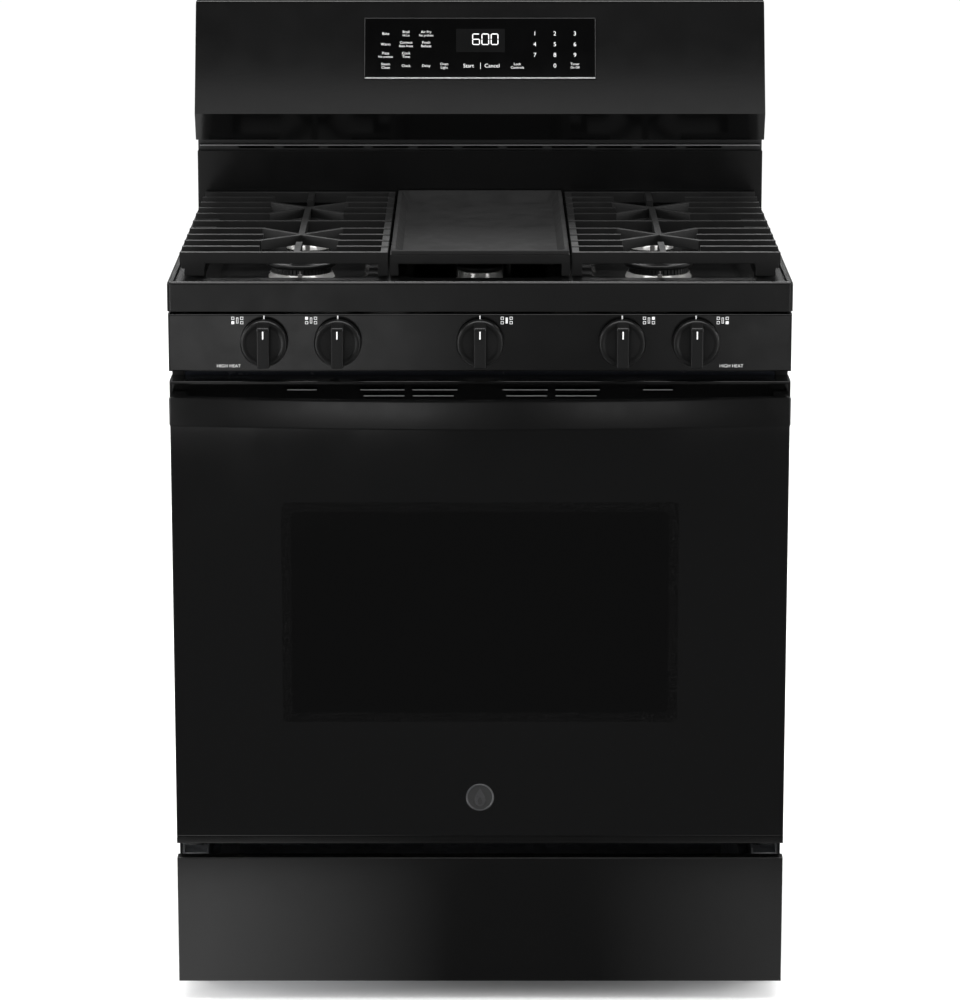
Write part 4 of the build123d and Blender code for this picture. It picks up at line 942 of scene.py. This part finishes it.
def make_panel_prints():
    """Burner position icons, pointer ticks and the high-output mark on the front panel."""
    low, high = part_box("manifold_panel")
    plane = Matrix.Translation((0, low.y, 0)) @ Matrix.Rotation(math.radians(90), 4, "X")
    prints = bmesh.new()
    side_shift, icon_z = 32.4 * MM, high.z - 8 * MM
    for name, chosen in BURNER_SPOTS.items():
        knob_low, knob_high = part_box("knob_" + name)
        middle = centre_of(knob_low, knob_high)
        add_bar(prints, middle.x, knob_high.z - 0.5 * MM, 1.5 * MM, 7 * MM, plane)
        shift = -side_shift if name in ("front_left", "rear_left") else side_shift
        for spot in BURNER_SPOTS.values():
            wide = 3.6 * MM if spot[0] else 2.6 * MM
            tall = 3.6 * MM if spot[0] else 7.2 * MM
            x, z = middle.x + shift + spot[0] * 5.4 * MM, icon_z + spot[1] * 2.7 * MM
            if spot == chosen:
                add_bar(prints, x, z, wide, tall, plane)
            else:
                add_outline(prints, x, z, wide, tall, 0.55 * MM, plane)
    for side in (-1, 1):
        add_text(prints, "HIGH HEAT", 5.6 * MM, side * 305.5 * MM, low.z + 6.8 * MM, plane)
    piece("panel_prints", prints, "range_body", "black_steel", "print_white")


def add_outline(bm, x, y, width, height, line, matrix):
    """Add the outline of a small printed rectangle."""
    for side in (-1, 1):
        add_bar(bm, x + side * (width - line) / 2, y, line, height, matrix)
        add_bar(bm, x, y + side * (height - line) / 2, width - 2 * line, line, matrix)


# --- Badge, lips, seals ------------------------------------------------------------------------------
def make_badge():
    """A plain round badge: a bright rim and a raised flame on a dark face."""
    low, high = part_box("badge")
    middle, radius = centre_of(low, high), (high.x - low.x) / 2
    turned = Matrix.Translation((middle.x, high.y, middle.z)) @ Matrix.Rotation(math.radians(90), 4, "X")
    thick = high.y - low.y
    face, relief = bmesh.new(), bmesh.new()
    edge, inner = radius - 0.2 * MM, radius - 2.0 * MM
    add_lathe(face, [(0, 0), (edge, 0), (edge, thick * 0.5), (0, thick * 0.5)], 96, turned)
    ring = [(inner, thick * 0.4), (radius, thick * 0.4), (radius, thick * 0.8),
            (radius - 0.4 * MM, thick), (radius - 1.5 * MM, thick), (inner, thick * 0.8),
            (inner, thick * 0.4)]
    add_lathe(relief, ring, 96, turned)
    for scale in (1.0, 0.42):
        flame = []
        for i in range(48):
            turn = 2 * math.pi * i / 48
            lift = 0.5 * (1 + math.sin(turn))
            width = radius * 0.46 * math.cos(turn) * (1 - 0.8 * lift ** 2.0)
            flame.append((scale * width, scale * radius * 0.66 * math.sin(turn) - (1 - scale) * radius * 0.4))
        target = relief if scale == 1.0 else face
        add_prism(target, flame, thick * 0.45, 0.12 * MM,
                  matrix=turned @ Matrix.Translation((0, 0, thick * (0.45 if scale == 1.0 else 0.5))))
    piece("badge_face", face, "oven_door", "badge_metal", "badge_dark", replaces=("badge",))
    piece("badge_relief", relief, "oven_door", "badge_metal")


# Air slots of the door rail: middle from the centre line, length, and depth under the rail's top, in mm.
DOOR_SLOTS = ((217, 36, 10), (119, 54, 10), (55, 55, 10), (117, 50, 17.5), (57, 50, 17.5))


def make_vent_lips():
    """The rolled lower lip of each air slot in the door's top rail, coloured light grey as a painted
    highlight.
    """
    low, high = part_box("door_top_trim")
    face = low.y + 8 * MM
    bm = bmesh.new()
    for middle, length, height in DOOR_SLOTS:
        for side in (-1, 1):
            x = side * middle * MM
            z = high.z - height * MM
            add_block(bm, (x - length / 2 * MM, face - 1.6 * MM, z - 2.6 * MM),
                      (x + length / 2 * MM, face + 0.8 * MM, z - 1.5 * MM), 0.4 * MM, 3)
    piece("door_slot_lips", bm, "oven_door", "black_steel", "lip_painted_highlight")


def make_gap_seals():
    """Dark strips under the joints round the cooktop, painted shade standing in for the dark inside of the
    body, so that no light shows through them.
    """
    top_low, top_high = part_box("cooktop")
    riser_low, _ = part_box("riser_panel")
    side_low, side_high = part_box("side_panel_right")
    # Dark strips: painted shade for the inside of the body seen through the gaps.
    bm = bmesh.new()
    under_ledge = top_high.z - 6.8 * MM
    inset = 4 * MM
    add_block(bm, (top_low.x + inset, top_high.y - 8 * MM, under_ledge - 10 * MM),
              (top_high.x - inset, riser_low.y + 10 * MM, under_ledge), 0.4 * MM)
    for side in (-1, 1):
        x = side * (side_high.x - 3.2 * MM)
        add_block(bm, (x - 1.2 * MM, side_low.y + 3 * MM, side_high.z - 6 * MM),
                  (x + 1.2 * MM, side_high.y - 6 * MM, top_low.z + 8 * MM), 0.4 * MM)
    piece("cooktop_gap_shade_strips", bm, "range_body", "dark_plastic")


def make_vent_baffle():
    """A dark sheet behind the oven outlet, painted shade that keeps the slots dark, and the rolled front edge
    of its lip, coloured light grey as a painted highlight.
    """
    low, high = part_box("vent_trim")
    bm = bmesh.new()
    # A dark sheet: painted shade standing in for the dark duct behind the slots.
    back = high.y - 20 * MM
    add_block(bm, (low.x + 4 * MM, back - 1 * MM, low.z + 1 * MM),
              (high.x - 4 * MM, back, high.z - 0.5 * MM), 0.2 * MM)
    piece("vent_shade_sheet", bm, "range_body", "dark_plastic")
    edge = bmesh.new()
    # The lip's rolled edge is coloured light grey: a painted highlight.
    add_block(edge, (low.x + 3 * MM, low.y - 0.3 * MM, low.z + 12.2 * MM),
              (high.x - 3 * MM, low.y + 1.2 * MM, low.z + 13.9 * MM), 0.4 * MM, 3)
    piece("vent_lip_edge", edge, "range_body", "vent_metal", "lip_painted_highlight")


for node, slot in SLOT_OF.items():
    mesh = frame["nodes"][node].data
    mesh.materials.clear()
    # Hinge arms get black paint in place of their zinc finish: painted shade for the dark gap they sit in.
    mesh.materials.append(looks["black_steel" if node == "hinge_arms" else slot])

bpy.context.scene.view_settings.view_transform = "Standard"
make_camera()
make_world()
make_floor()
make_lights()
make_finished_nodes()
make_round_burners()
make_oval_burner()
for node in BODY_OF:
    if node.startswith("knob_"):
        make_knob(node)
make_badge()
make_vent_lips()
make_vent_baffle()
make_gap_seals()
make_control_prints()
make_panel_prints()
